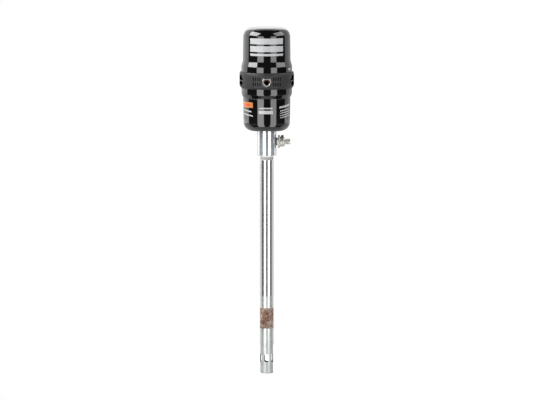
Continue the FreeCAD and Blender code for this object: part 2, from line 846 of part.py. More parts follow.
# Piston rod: hollow for the trip rod, with a coupling to the connecting rod.
def make_piston_rod():
    turned("piston_rod", [
        ("0", "rod_end - coupling_thread_length"),
        ("coupling_thread_od / 2", "rod_end - coupling_thread_length"),
        ("coupling_thread_od / 2", "rod_end"),
        ("piston_rod_od / 2", "rod_end"),
        ("piston_rod_od / 2", "piston_base"),
        ("rod_socket_od / 2", "piston_base"),
        ("rod_socket_od / 2", "rod_cap"),
        ("piston_rod_bore / 2", "rod_cap"),
        ("piston_rod_bore / 2", "rod_bore_end"),
        ("0", "rod_bore_end"),
    ])
    step = "rod_end - coupling_thread_length - thread_run_out"
    turned("rod_coupling", [
        ("rod_thread_od / 2 + thread_gap", "rod_end - coupling_length"),
        ("piston_rod_od / 2 - edge_bevel", "rod_end - coupling_length"),
        ("piston_rod_od / 2", "rod_end - coupling_length + edge_bevel"),
        ("piston_rod_od / 2", "rod_end"),
        ("coupling_thread_od / 2 + thread_gap", "rod_end"),
        ("coupling_thread_od / 2 + thread_gap", step),
        ("rod_thread_od / 2 + thread_gap", step),
    ])
    body = new_body("rod_packing")
    inner = "piston_rod_od / 2 + running_gap"
    outer = "packing_od / 2 - thread_gap"
    revolve(body, "RodPacking", [
        (inner, "packing_floor"),
        (outer, "packing_floor"),
        (outer, "gland_base - packing_crown"),
        (f"({inner} + {outer}) / 2", "gland_base"),
        (inner, "gland_base - packing_crown"),
    ])
    joint = "packing_floor + packing_length / 3"
    groove(body, "PackingJoint", [
        (outer + " - packing_notch", joint + " - packing_notch / 2"),
        (outer, joint + " - packing_notch / 2"),
        (outer, joint + " + packing_notch / 2"),
        (outer + " - packing_notch", joint + " + packing_notch / 2"),
    ])
    body = new_body("gland_nut")
    face = "base_top - gland_set"
    recess_floor = "base_top - wiper_recess_depth"
    recess_radius = "piston_rod_od / 2 + wiper_recess_width"
    revolve(body, "GlandNut", [
        ("piston_rod_od / 2 + running_gap", "gland_base"),
        (outer, "gland_base"),
        (outer, face),
        (recess_radius, face),
        (recess_radius, recess_floor),
        ("piston_rod_od / 2 + running_gap", recess_floor),
    ])
    sketch = new_sketch(body, "SpannerSlotOutline", "XY_Plane")
    tie(sketch, "AttachmentOffset.Base.z", face)
    draw_rectangle(sketch, ("packing_od / 2", "0"), "spanner_slot_length", "spanner_slot_width")
    slot = pocket(body, "SpannerSlot", sketch, "spanner_slot_depth")
    polar(body, "SpannerSlots", slot, "spanner_slot_count")
    tube("rod_wiper", "piston_rod_od + 2 * wiper_recess_width - seal_gap",
         "piston_rod_od + 2 * running_gap", recess_floor, face + " - slide_gap")


# Cylinder base, air cylinder and the painted lower cover that holds them.
def make_air_cylinder():
    liner_low = "base_top - spigot_depth"
    spigot = "cylinder_bore / 2 - thread_gap"
    body = new_body("cylinder_base")
    revolve(body, "CylinderBase", [
        ("neck_od / 2 + thread_gap", "cover_floor"),
        ("base_foot_od / 2", "cover_floor"),
        ("cylinder_od / 2", liner_low),
        (spigot, liner_low),
        (spigot, "base_top"),
        ("neck_od / 2 + thread_gap", "base_top"),
    ])
    tube("air_cylinder", "cylinder_od", "cylinder_bore", liner_low, "head")
    cover = new_body("lower_cover")
    bore = "lower_cover_bore / 2"
    shell = revolve(cover, "LowerCover", [
        ("neck_od / 2 + slide_gap", "collar_length"),
        ("lower_cover_od / 2", "collar_length"),
        ("lower_cover_top_od / 2", "seam - seam_height"),
        ("lower_cover_top_od / 2 - seam_depth", "seam - seam_height"),
        ("lower_cover_top_od / 2 - seam_depth", "seam"),
        ("cover_thread_od / 2 - thread_gap", "seam"),
        ("cover_thread_od / 2 - thread_gap", "neck_top"),
        (bore, "neck_top"),
        (bore, "cover_floor"),
        ("neck_od / 2 + slide_gap", "cover_floor"),
    ])
    # the inside is rounded first, so that the outer rounding always has a wall behind it
    inner = dress(cover, "Fillet", "LowerCoverInside", shell,
                  [("lower_cover_bore", "cover_floor")], "lower_cover_inner_fillet")
    dress(cover, "Fillet", "LowerCoverFoot", inner,
          [("lower_cover_od", "collar_length")], "lower_cover_fillet")


# Air piston with its seal, bumpers and recess for the trip spring.
def make_air_piston():
    seal_high = "piston_groove + piston_seal_height"
    rim = "cylinder_bore / 2 - slide_gap"
    passage = "trip_rod_od / 2 + slide_gap"
    socket = "rod_socket_od / 2 + thread_gap"
    turned("air_piston", [
        (passage, "rod_cap"),
        (socket, "rod_cap"),
        (socket, "piston_base"),
        (rim, "piston_base"),
        (rim, "piston_groove"),
        (rim + " - piston_seal_depth", "piston_groove"),
        (rim + " - piston_seal_depth", seal_high),
        (rim, seal_high),
        (rim, "piston_top"),
        ("piston_recess_od / 2", "piston_top"),
        ("piston_recess_od / 2", "recess_floor"),
        (passage, "recess_floor"),
    ])
    tube("piston_seal", "cylinder_bore - running_gap",
         "cylinder_bore - 2 * slide_gap - 2 * piston_seal_depth + 2 * seal_gap",
         "piston_groove + seal_gap", seal_high + " - seal_gap")
    tube("lower_bumper", "bumper_od", "bumper_bore", "base_top", "base_top + bumper_thickness")
    tube("upper_bumper", "bumper_od", "bumper_bore", "head - bumper_thickness", "head")


# Valve casting: head of the air cylinder, valve block and painted skirt in one piece.
def make_valve_casting():
    body = new_body("valve_casting")
    thread = "cover_thread_od / 2"
    liner = "cylinder_od / 2 + running_gap"
    bore = "sleeve_od / 2 + thread_gap"
    casting = revolve(body, "ValveCasting", [
        (bore, "head"),
        (liner, "head"),
        (liner, "neck_top"),
        (thread, "neck_top"),
        (thread, "seam"),
        ("lower_cover_top_od / 2", "seam"),
        ("skirt_od / 2", "seam + skirt_taper_height"),
        ("skirt_od / 2", "ring_base"),
        ("casting_od / 2", "ring_base"),
        ("casting_od / 2", "ring_top"),
        ("cap_spigot_od / 2", "ring_top"),
        ("cap_spigot_od / 2", "ring_top + cap_spigot_height"),
        ("cap_spigot_bore / 2", "ring_top + cap_spigot_height"),
        ("cap_spigot_bore / 2", "ring_top"),
        (bore, "ring_top"),
    ])
    dress(body, "Fillet", "SkirtEdge", casting,
          [("skirt_od", "seam + skirt_taper_height")], "skirt_fillet")
    sketch = new_sketch(body, "ExhaustPocketOutline", "YZ_Plane")
    tie(sketch, "AttachmentOffset.Base.z", "casting_od / 2")
    draw_rectangle(sketch, ("0", "ring_middle"), "exhaust_pocket_width", "exhaust_pocket_height")
    cut = pocket(body, "ExhaustPocket", sketch, "exhaust_pocket_depth")
    polar(body, "ExhaustPockets", cut, "2")
    sketch = new_sketch(body, "ExhaustPortOutline", "YZ_Plane")
    draw_circle(sketch, ("0", "ring_middle"), "exhaust_port_od")
    pocket(body, "ExhaustPort", sketch, "casting_od + skirt_od", middle=True)
    sketch = new_sketch(body, "InletPortOutline", "XZ_Plane")
    shank = "bushing_od - 2 * bushing_step + 2 * thread_gap"
    draw_circle(sketch, ("0", "inlet_height"), shank)
    pocket(body, "InletPort", sketch, "skirt_od", reverse=True)
    sketch = new_sketch(body, "CageScrewOutline", "XY_Plane")
    tie(sketch, "AttachmentOffset.Base.z", "ring_top")
    draw_circle(sketch, ("cage_screw_circle / 2", "0"), "cage_screw_od + 2 * thread_gap")
    hole = pocket(body, "CageScrewHole", sketch, "cage_screw_reach + drill_point")
    polar(body, "CageScrewHoles", hole, "cage_screw_count")


# Silencer ring: slotted front and back, a pointed window with a rib at each side.
def make_silencer_ring():
    body = new_body("silencer_ring")
    bore = "ring_bore / 2"
    inside = "ring_od / 2 - ring_wall"
    revolve(body, "SilencerRing", [
        (bore, "ring_base"),
        ("ring_od / 2 - ring_base_taper", "ring_base"),
        ("ring_od / 2 - ring_shoulder_inset", "ring_base + ring_shoulder_height"),
        ("ring_od / 2", "ring_base + ring_edge_height"),
        ("ring_od / 2", "ring_top - ring_edge_height"),
        ("ring_od / 2 - ring_crown_lean", "ring_top - ring_crown_height"),
        ("ring_od / 2 - ring_crown_lean - ring_crown_bevel", "ring_top"),
        (bore, "ring_top"),
        (bore, "ring_top - ring_lip"),
        (inside, "ring_top - ring_lip"),
        (inside, "ring_base + ring_lip"),
        (bore, "ring_base + ring_lip"),
    ])
    panel_low = "ring_base + panel_margin"
    panel_high = "ring_top - panel_margin"
    revolve(body, "FrontPanel", [
        ("-(ring_od / 2 - panel_root)", panel_low),
        ("-(panel_od / 2 - panel_bevel)", panel_low),
        ("-panel_od / 2", panel_low + " + panel_low_slope"),
        ("-panel_od / 2", panel_high + " - panel_high_slope"),
        ("-(panel_od / 2 - panel_bevel)", panel_high),
        ("-(ring_od / 2 - panel_root)", panel_high),
    ], "YZ_Plane", "panel_angle")
    sketch = new_sketch(body, "SlotOutline", "XZ_Plane")
    for side in "-+":
        for column in range(round(value("slot_count"))):
            across = f"{side}(slot_first + {column} * slot_pitch)"
            for row in "+-":
                level = f"vent_level {row} (slot_height + slot_rib) / 2"
                draw_rectangle(sketch, (across, level), "slot_width", "slot_height")
    pocket(body, "Slots", sketch, "2 * ring_od", middle=True)
    sketch = new_sketch(body, "WindowOutline", "YZ_Plane")
    half = "window_width / 2"
    for side in "-+":
        near = f"vent_level {side} window_rib / 2"
        far = f"vent_level {side} window_height / 2"
        for hand in "-+":
            draw_loop(sketch, [
                (f"{hand}window_bar / 2", near),
                (f"{hand}window_bar / 2", far),
                (f"{hand}({half} - window_point)", far),
                (f"{hand}({half} - window_nose)", near),
            ])
    pocket(body, "Windows", sketch, "2 * ring_od", middle=True)
    sketch = new_sketch(body, "InletHoleOutline", "XZ_Plane")
    draw_circle(sketch, ("0", "inlet_height"), "bushing_od + 2 * running_gap")
    pocket(body, "InletHole", sketch, "ring_od", reverse=True)


# Foam that lies behind the ring's slots and windows.
def make_silencer_foam():
    body = new_body("silencer_foam")
    revolve(body, "SilencerFoam", [
        ("casting_od / 2 + slide_gap", "ring_base + ring_lip + slide_gap"),
        ("ring_od / 2 - ring_wall - slide_gap", "ring_base + ring_lip + slide_gap"),
        ("ring_od / 2 - ring_wall - slide_gap", "ring_top - ring_lip - slide_gap"),
        ("casting_od / 2 + slide_gap", "ring_top - ring_lip - slide_gap"),
    ])
    sketch = new_sketch(body, "FoamHoleOutline", "XZ_Plane")
    draw_circle(sketch, ("0", "inlet_height"), "bushing_od + 2 * foam_hole_gap")
    pocket(body, "FoamHole", sketch, "ring_od", reverse=True)


# Threaded air inlet and the bright rim round its mouth.
def make_air_inlet():
    body = new_body("air_inlet_bushing")
    revolve(body, "AirInletBushing", [
        ("outlet_bore / 2", "casting_od / 2 - bushing_reach"),
        ("bushing_od / 2 - bushing_step", "casting_od / 2 - bushing_reach"),
        ("bushing_od / 2 - bushing_step", "casting_od / 2"),
        ("bushing_od / 2", "casting_od / 2"),
        ("bushing_od / 2", "inlet_mouth"),
        ("inlet_thread_bore / 2", "inlet_mouth"),
        ("inlet_thread_bore / 2", "inlet_mouth - inlet_depth"),
        ("outlet_bore / 2", "inlet_mouth - inlet_depth"),
    ])
    body.Placement = FreeCAD.Placement(Vector(0, 0, 0), FreeCAD.Rotation(Vector(1, 0, 0), 90))
    tie(body, "Placement.Base.z", "inlet_height")
    rim = new_body("inlet_rim")
    sketch = new_sketch(rim, "InletRimOutline", "XZ_Plane")
    tie(sketch, "AttachmentOffset.Base.z", "inlet_mouth + rest_gap")
    for band in ("0", "rim_band"):
        draw_loop(sketch, shield(band))
    pad(rim, "InletRim", sketch, "rim_proud")
    dress_rim(rim)


def shield(band):
    """The rim's outline about the inlet's axis, grown from the mouth by a band."""
    half = f"(rim_mouth_width / 2 + {band})"
    top = f"(rim_mouth_top + {band})"
    drop = f"(rim_mouth_drop + {band})"
    # shares of the half width, and of the height above or the drop below the axis
    corners = ((0.67, top, 1), (1, top, 0.57), (1, drop, -0.07), (0.67, drop, -0.61))
    right = [(f"{share} * {half}", f"inlet_height + {rise} * {reach}")
             for share, reach, rise in corners]
    left = [(f"-{across}", level) for across, level in right[::-1]]
    return right + [("0", f"inlet_height - {drop}")] + left


def dress_rim(rim):
    """Round the corners of the rim that stand along its depth."""
    doc.recompute()
    base = rim.Tip
    names = []
    for index, edge in enumerate(base.Shape.Edges, 1):
        along = edge.Vertexes[0].Point - edge.Vertexes[-1].Point
        if abs(along.x) < 1e-6 and abs(along.z) < 1e-6:
            names.append(f"Edge{index}")
    finish = rim.newObject("PartDesign::Fillet", "RimCorners")
    finish.Base = (base, names)
    tie(finish, "Radius", "rim_fillet")


# Upper cover: a domed shell with a flared foot.
def make_upper_cover():
    body = new_body("upper_cover")
    shell = revolve(body, "UpperCover", [
        ("cap_bore / 2", "ring_top"),
        ("flare_foot_od / 2", "ring_top"),
        ("flare_od / 2", "flare_shoulder"),
        ("cap_od / 2", "flare_end"),
        ("cap_top_od / 2", "cap_top"),
        ("0", "cap_top"),
        ("0", "cap_ceiling"),
        ("cap_inner_od / 2", "cap_ceiling"),
    ])
    feature = shell
    for name, place, radius in (
            ("DomeInside", ("cap_inner_od", "cap_ceiling"), "cap_inner_fillet"),
            ("Dome", ("cap_top_od", "cap_top"), "cap_fillet"),
            ("FlareShoulder", ("flare_od", "flare_shoulder"), "flare_shoulder_fillet"),
            ("FlareRoot", ("cap_od", "flare_end"), "flare_root_fillet")):
        feature = dress(body, "Fillet", name, feature, [place], radius)


# Valve sleeve and spool, with their O-rings.
def make_valve():
    wall = "sleeve_od / 2"
    floor = f"{wall} - sleeve_groove_depth"
    sleeve_base = "head + collar_drop + end_gap"
    ring_levels = [f"valve_middle + {step} * port_pitch" for step in (-1.5, -0.5, 0.5, 1.5)]
    body = new_body("valve_sleeve")
    outline = [("sleeve_bore / 2", sleeve_base), (wall, sleeve_base)]
    for level in ring_levels:
        low, high = (f"{level} {side} sleeve_groove_width / 2" for side in "-+")
        outline += [(wall, low), (floor, low), (floor, high), (wall, high)]
    outline += [(wall, "ring_top"), ("sleeve_bore / 2", "ring_top")]
    revolve(body, "ValveSleeve", outline)
    for name, step in (("Lower", -1), ("Middle", 0), ("Upper", 1)):
        sketch = new_sketch(body, name + "PortOutline", "XZ_Plane")
        draw_circle(sketch, ("0", f"valve_middle + {step} * port_pitch"), "sleeve_hole_od")
        hole = pocket(body, name + "Port", sketch)
        polar(body, name + "Ports", hole, "sleeve_hole_count")
    ring_bore = "sleeve_od - 2 * sleeve_groove_depth + 2 * groove_rest"
    seal_rings("sleeve_rings", [(ring_bore, level, "sleeve_ring_section") for level in ring_levels])
    land = "sleeve_bore / 2 - running_gap"
    groove_floor = f"{land} - spool_groove_depth"
    waist = "sleeve_bore / 2 - spool_waist_depth"
    steps = (-1, 0, 1)
    seats = [f"spool_middle + {step} * land_pitch" for step in steps]
    outline = [("trip_rod_od / 2 + thread_gap", "spool_base"), (land, "spool_base")]
    for step, level in zip(steps, seats):
        low, high = (f"{level} {side} spool_groove_width / 2" for side in "-+")
        outline += [(land, low), (groove_floor, low), (groove_floor, high), (land, high)]
        if step < 1:
            rise = f"{level} + spool_land / 2"
            fall = f"{level} + land_pitch - spool_land / 2"
            outline += [(land, rise), (waist, rise), (waist, fall), (land, fall)]
    outline += [(land, "spool_top"), ("trip_rod_od / 2 + thread_gap", "spool_top")]
    turned("spool", outline)
    ring_bore = f"2 * ({groove_floor}) + 2 * groove_rest"
    seal_rings("spool_rings", [(ring_bore, level, "spool_ring_section") for level in seats])


# Trip rod: carries the spool, the collar and knob that the piston pushes, and the detent disc.
def make_trip_rod():
    small = "trip_rod_od / 2"
    turned("trip_rod", [
        ("0", "knob_base"),
        (small, "knob_base"),
        (small, "detent_top + detent_nut_height + edge_bevel"),
        ("0", "detent_top + detent_nut_height + edge_bevel"),
    ])
    hole = "trip_rod_od + 2 * thread_gap"
    turned("trip_knob", [
        (f"({hole}) / 2", "knob_base"),
        ("knob_od / 2 - edge_bevel", "knob_base"),
        ("knob_od / 2", "knob_base + edge_bevel"),
        ("knob_od / 2", "knob_top"),
        (f"({hole}) / 2", "knob_top"),
    ])
    tube("trip_collar", "collar_disc_od", hole, "collar_disc_base", "collar_disc_top")
    tube("detent_washer", "detent_od", hole, "detent_base", "detent_top")
    hex_nut("detent_nut", "detent_nut_width", hole, "detent_top", "detent_nut_height")
    spring("upper_trip_spring", "recess_floor + spring_end_gap", "collar_disc_base - spring_end_gap")
    spring("lower_trip_spring", "knob_top + spring_end_gap",
           "knob_top + trip_spring_room - 2 * spring_end_gap")


def spring(label, low, high):
    """A coil spring on the trip rod, between two levels in words, swept in short straight runs."""
    wire = value("spring_wire / 2")
    radius = value("trip_rod_od / 2 + spring_gap + spring_wire / 2")
    rise = value(f"{high} - ({low}) - spring_wire")
    turns = round(value("spring_turns"))
    runs_per_turn = 12
    sides = 6
    count = turns * runs_per_turn
    points = []
    for index in range(count + 1):
        angle = 2 * math.pi * index / runs_per_turn
        points.append(Vector(radius * math.cos(angle), radius * math.sin(angle), rise * index / count))
    along = (points[1] - points[0]).normalize()
    side = along.cross(Vector(0, 0, 1)).normalize()
    up = side.cross(along)
    corners = []
    for index in range(sides + 1):
        angle = 2 * math.pi * index / sides
        corners.append(points[0] + side * (wire * math.cos(angle)) + up * (wire * math.sin(angle)))
    path = Part.Wire(Part.makePolygon(points))
    holder = doc.addObject("Part::Feature", label)
    holder.Shape = path.makePipeShell([Part.Wire(Part.makePolygon(corners))], True, False, 1)
    holder.Label = label
    tie(holder, "Placement.Base.z", f"{low} + spring_wire / 2")
    return holder


# Detent: two ring magnets in a cage screwed to the casting hold the disc up or down.
def make_detent():
    body = new_body("detent_cage")
    revolve(body, "DetentCage", [
        ("magnet_bore / 2", "ring_top"),
        ("cage_od / 2", "ring_top"),
        ("cage_od / 2", "cage_top"),
        ("magnet_od / 2 + running_gap", "cage_top"),
        ("magnet_od / 2 + running_gap", "lower_magnet_base"),
        ("magnet_bore / 2", "lower_magnet_base"),
    ])
    screw_holes(body, "Cage", "ring_top", "cage_top - ring_top")
    body = new_body("detent_lid")
    revolve(body, "DetentLid", [
        ("magnet_bore / 2", "cage_top"),
        ("cage_od / 2", "cage_top"),
        ("cage_od / 2", "cage_top + cage_lid"),
        ("magnet_bore / 2", "cage_top + cage_lid"),
    ])
    screw_holes(body, "Lid", "cage_top", "cage_lid")
    magnets = []
    for name, low in (("LowerMagnet", "lower_magnet_base"), ("UpperMagnet", "upper_magnet_base")):
        outer = doc.addObject("Part::Cylinder", name + "Outside")
        inner = doc.addObject("Part::Cylinder", name + "Bore")
        for cylinder, size in ((outer, "magnet_od / 2"), (inner, "magnet_bore / 2")):
            tie(cylinder, "Radius", size)
            tie(cylinder, "Height", "magnet_thickness")
            tie(cylinder, "Placement.Base.z", low)
        magnet = doc.addObject("Part::Cut", name)
        magnet.Base = outer
        magnet.Tool = inner
        magnets.append(magnet)
    group = doc.addObject("Part::Compound", "detent_magnets")
    group.Label = "detent_magnets"
    group.Links = magnets
    screws = []
    count = round(value("cage_screw_count"))
    for index in range(count):
        shank = doc.addObject("Part::Cylinder", f"ScrewShank{index}")
        tie(shank, "Radius", "cage_screw_od / 2")
        tie(shank, "Height", "cage_top + cage_lid - ring_top + cage_screw_reach")
        tie(shank, "Placement.Base.z", "ring_top - cage_screw_reach")
        head = doc.addObject("Part::Cylinder", f"ScrewHead{index}")
        tie(head, "Radius", "cage_screw_head_od / 2")
        tie(head, "Height", "cage_screw_od")
        tie(head, "Placement.Base.z", "cage_top + cage_lid")
        for piece in (shank, head):
            turn = f"{360 * index / count} deg"
            tie(piece, "Placement.Base.x", f"cage_screw_circle / 2 * cos({turn})")
            tie(piece, "Placement.Base.y", f"cage_screw_circle / 2 * sin({turn})")
        screw = doc.addObject("Part::Fuse", f"CageScrew{index}")
        screw.Base = shank
        screw.Tool = head
        screws.append(screw)
    group = doc.addObject("Part::Compound", "cage_screws")
    group.Label = "cage_screws"
    group.Links = screws


def screw_holes(body, name, level, depth):
    """Clearance holes for the cage screws, up from a level in words."""
    sketch = new_sketch(body, name + "ScrewOutline", "XY_Plane")
    tie(sketch, "AttachmentOffset.Base.z", level)
    draw_circle(sketch, ("cage_screw_circle / 2", "0"), "cage_screw_od + 4 * thread_gap")
    hole = pocket(body, name + "ScrewHole", sketch, depth, reverse=True)
    polar(body, name + "ScrewHoles", hole, "cage_screw_count")


# Static seals of the casing.
def make_casing_seals():
    spigot_top = "ring_top + cap_spigot_height"
    seal_rings("casing_rings", [
        ("cap_spigot_od - 2 * cap_ring_section",
         spigot_top + " + rest_gap + cap_ring_section / 2", "cap_ring_section"),
        ("cylinder_od + 2 * head_ring_gap",
         "neck_top - seal_gap - head_ring_section / 2", "head_ring_section"),
    ])


# Grease outlet: seal washer, adapter, flange nut, block with bleed screw, and nipple.
def make_outlet_fittings():
    thread_hole = "outlet_thread_od + 2 * thread_gap"
    outward(tube("outlet_seal", "outlet_seal_od", thread_hole, "outlet_flat", "adapter_shoulder"),
            "outlet_height")
    bore = "outlet_bore / 2"
    neck = "adapter_neck_od / 2"
    thread = "block_thread_od / 2"
    hole = thread + " + running_gap"
    port_end = "chamber_od / 2 + end_gap"
    thread_end = "flange_top + block_thread_length"
    adapter = turned("outlet_adapter", [
        (bore, port_end),
        ("outlet_thread_od / 2", port_end),
        ("outlet_thread_od / 2", "adapter_shoulder"),
        (neck, "adapter_shoulder"),
        (neck, "flange_base"),
        (thread, "flange_base"),
        (thread, thread_end),
        (bore, thread_end),
    ])
    outward(adapter, "outlet_height")
    nut = new_body("outlet_flange_nut")
    disc = revolve(nut, "OutletFlangeNut", [
        (hole, "flange_base"),
        ("flange_nut_od / 2", "flange_base"),
        ("flange_nut_od / 2", "flange_top"),
        (hole, "flange_top"),
    ])
    dress(nut, "Chamfer", "FlangeEdges", disc,
          [("flange_nut_od", "flange_base"), ("flange_nut_od", "flange_top")], "flange_nut_chamfer")
    outward(nut, "outlet_height")
    block = new_body("outlet_block")
    shoulder = "block_top - block_shoulder_height"
    nipple_hole = "nipple_neck_od / 2 + thread_gap"
    nipple_floor = "block_top - nipple_thread_length"
    round_body = revolve(block, "OutletBlock", [
        (bore, thread_end),
        (hole, thread_end),
        (hole, "flange_top"),
        ("block_od / 2", "flange_top"),
        ("block_od / 2", shoulder),
        ("block_od / 2 - block_shoulder_inset", "block_top"),
        (nipple_hole, "block_top"),
        (nipple_hole, nipple_floor),
        (bore, nipple_floor),
    ])
    dress(block, "Fillet", "BlockEdges", round_body, [("block_od", shoulder)], "block_fillet")
    sketch = new_sketch(block, "BleedHoleOutline", "YZ_Plane")
    draw_circle(sketch, ("0", "flange_top + bleed_offset"), "bleed_od + 2 * running_gap")
    pocket(block, "BleedHole", sketch, "block_od")
    outward(block, "outlet_height")
    nipple = turned("outlet_nipple", [
        (bore, nipple_floor + " + seal_gap"),
        ("nipple_neck_od / 2", nipple_floor + " + seal_gap"),
        ("nipple_neck_od / 2", "nipple_base"),
        ("nipple_od / 2", "nipple_base"),
        ("nipple_od / 2", "nipple_end"),
        (bore, "nipple_end"),
    ])
    outward(nipple, "outlet_height")
    screw_end = "block_od / 2 - bleed_depth"
    neck_end = "block_od / 2 + bleed_neck_length"
    knob_end = "block_od / 2 + bleed_knob_height"
    screw = turned("bleed_screw", [
        ("0", screw_end),
        ("bleed_od / 2", screw_end),
        ("bleed_od / 2", neck_end),
        ("bleed_knob_od / 2", neck_end),
        ("bleed_knob_od / 2", knob_end),
        ("0", knob_end),
    ])
    tie(screw, "Placement.Base.z", "outlet_height")
    tie(screw, "Placement.Base.x", "flange_top + bleed_offset")


def export():
    """Check every object, then write one STEP file for each sub-part."""
    doc.recompute()
    for thing in doc.Objects:
        if "Invalid" in thing.State or "Error" in thing.State:
            raise RuntimeError(f"{thing.Label} did not build: {thing.State}")
    inner = {link for group in doc.Objects if group.isDerivedFrom("Part::Compound")
             for link in group.Links}
    pieces = [thing for thing in doc.Objects
              if thing.Label == thing.Label.lower() and hasattr(thing, "Shape")
              and thing not in inner]
    for piece in pieces:
        if piece.Shape.isNull() or not piece.Shape.isValid():
            raise RuntimeError(f"{piece.Label} has no valid shape")
    os.makedirs("parts", exist_ok=True)
    for piece in pieces:
        piece.Shape.exportStep(f"parts/{piece.Label}.step")
        box = piece.Shape.BoundBox
        print(f"{piece.Label:20s} solids {len(piece.Shape.Solids)} volume {piece.Shape.Volume:10.1f}"
              f" z {box.ZMin:8.2f} to {box.ZMax:8.2f} x {box.XMin:7.2f} to {box.XMax:7.2f}")


make_outlet_body()
make_suction_tube()
make_barrel()
make_foot_sleeve()
make_foot_valve()
make_primer()
make_plunger()
make_piston_rod()
make_air_cylinder()
make_air_piston()
make_valve_casting()
make_silencer_ring()
make_silencer_foam()
make_air_inlet()
make_upper_cover()
make_valve()
make_trip_rod()
make_detent()
make_casing_seals()
make_outlet_fittings()
export()
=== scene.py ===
import json
import math

import bmesh
import bpy
import numpy as np
from mathutils import Matrix, Vector


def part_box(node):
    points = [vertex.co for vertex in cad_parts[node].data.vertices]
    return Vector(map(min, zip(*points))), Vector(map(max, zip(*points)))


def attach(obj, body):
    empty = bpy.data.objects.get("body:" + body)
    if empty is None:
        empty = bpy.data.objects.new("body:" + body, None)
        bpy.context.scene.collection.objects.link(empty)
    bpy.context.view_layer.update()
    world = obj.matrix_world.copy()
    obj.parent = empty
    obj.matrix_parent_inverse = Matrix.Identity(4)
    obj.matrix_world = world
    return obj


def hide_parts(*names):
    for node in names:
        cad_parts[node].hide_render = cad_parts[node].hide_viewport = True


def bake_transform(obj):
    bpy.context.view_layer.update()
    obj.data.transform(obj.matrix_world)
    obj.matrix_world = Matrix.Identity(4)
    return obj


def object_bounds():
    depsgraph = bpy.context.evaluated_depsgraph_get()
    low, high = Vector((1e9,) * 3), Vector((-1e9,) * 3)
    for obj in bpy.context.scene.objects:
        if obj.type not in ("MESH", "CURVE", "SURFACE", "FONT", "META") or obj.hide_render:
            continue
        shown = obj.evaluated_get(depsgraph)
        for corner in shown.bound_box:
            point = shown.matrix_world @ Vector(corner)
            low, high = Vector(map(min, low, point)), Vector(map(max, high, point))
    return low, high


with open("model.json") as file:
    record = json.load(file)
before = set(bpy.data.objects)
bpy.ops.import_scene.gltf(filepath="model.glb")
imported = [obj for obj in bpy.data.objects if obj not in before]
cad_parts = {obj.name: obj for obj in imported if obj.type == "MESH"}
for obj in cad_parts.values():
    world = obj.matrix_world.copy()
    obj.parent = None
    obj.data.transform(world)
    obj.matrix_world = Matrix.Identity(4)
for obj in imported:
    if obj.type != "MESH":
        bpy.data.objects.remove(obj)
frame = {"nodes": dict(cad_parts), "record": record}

# The pneumatic grease pump's finishes, turned surfaces, prints and studio.
# Sizes in the pieces' dictionaries are millimetres and degrees, and meshes are metres.
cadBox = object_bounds()
nodes = frame["nodes"]
mm = 0.001
alongX = Matrix.Rotation(math.radians(90), 3, "Y")
alongY = Matrix.Rotation(math.radians(90), 3, "X")     # towards the front


def spanOf(node, axis="z"):
    # where a CAD node begins and ends along one axis
    low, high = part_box(node)
    return getattr(low, axis) / mm, getattr(high, axis) / mm


def middleOf(node, axis="z"):
    return sum(spanOf(node, axis)) / 2


def radiusOf(node):
    # of a node that is round about the pump's axis
    return spanOf(node, "x")[1]


# Meshes: every new surface is a grid of points over two parameters.
meshCare = {"newGap": 0.0002, "nodeGap": 0.002, "flatAngle": 0.6, "sharpAngle": 32,
            "cornerAngle": 40, "normalWeight": 80}


def gridFaces(rows, columns, wrapRows, wrapColumns):
    # quads between neighbouring rows and columns, closed round either way on demand
    i = np.arange(rows if wrapRows else rows - 1)
    j = np.arange(columns if wrapColumns else columns - 1)
    i, j = (part.ravel() for part in np.meshgrid(i, j, indexing="ij"))
    following, beside = (i + 1) % rows, (j + 1) % columns
    return np.stack([i * columns + j, following * columns + j,
                     following * columns + beside, i * columns + beside], axis=1)


def linked(name, mesh):
    piece = bpy.data.objects.new(name, mesh)
    bpy.context.scene.collection.objects.link(piece)
    return piece


def finishMesh(name, points, faces, sharpAngle=meshCare["sharpAngle"]):
    # doubles are merged, so seams and poles close, and then the faces are turned outwards
    mesh = bpy.data.meshes.new(name)
    mesh.from_pydata(np.asarray(points).tolist(), [], np.asarray(faces).tolist())
    work = bmesh.new()
    work.from_mesh(mesh)
    bmesh.ops.remove_doubles(work, verts=work.verts, dist=meshCare["newGap"] * mm)
    bmesh.ops.recalc_face_normals(work, faces=work.faces)
    work.to_mesh(mesh)
    work.free()
    mesh.shade_smooth()
    mesh.set_sharp_from_angle(angle=math.radians(sharpAngle))
    return linked(name, mesh)


def evenNormals(piece):
    # large faces keep their own normals, so roundings beside them don't bend their reflections
    even = piece.modifiers.new("evenNormals", "WEIGHTED_NORMAL")
    even.keep_sharp = True
    even.weight = meshCare["normalWeight"]
    return piece


def roundedOutline(corners, arcSteps):
    # each corner (radius, level, rounding) becomes an arc tangent to the straight runs beside it:
    # its centre lies on the corner's bisector, at rounding over the sine of the half angle
    corners = np.array(corners, float)
    corner, rounding = corners[:, :2], corners[:, 2:]
    before = np.roll(corner, 1, axis=0) - corner
    after = np.roll(corner, -1, axis=0) - corner
    before /= np.linalg.norm(before, axis=1, keepdims=True)
    after /= np.linalg.norm(after, axis=1, keepdims=True)
    half = np.arccos(np.clip((before * after).sum(axis=1, keepdims=True), -1, 1)) / 2
    bisector = before + after
    bisector /= np.maximum(np.linalg.norm(bisector, axis=1, keepdims=True), 1e-9)
    centre = corner + bisector * rounding / np.sin(half)
    start = corner + before * rounding / np.tan(half) - centre
    end = corner + after * rounding / np.tan(half) - centre
    sweep = (np.pi - 2 * half)[:, :, None]
    share = np.linspace(0, 1, arcSteps)[None, :, None]
    arc = np.sin((1 - share) * sweep) * start[:, None] + np.sin(share * sweep) * end[:, None]
    arc = arc / np.maximum(np.sin(sweep), 1e-9)
    return (centre[:, None] + arc).reshape(-1, 2)


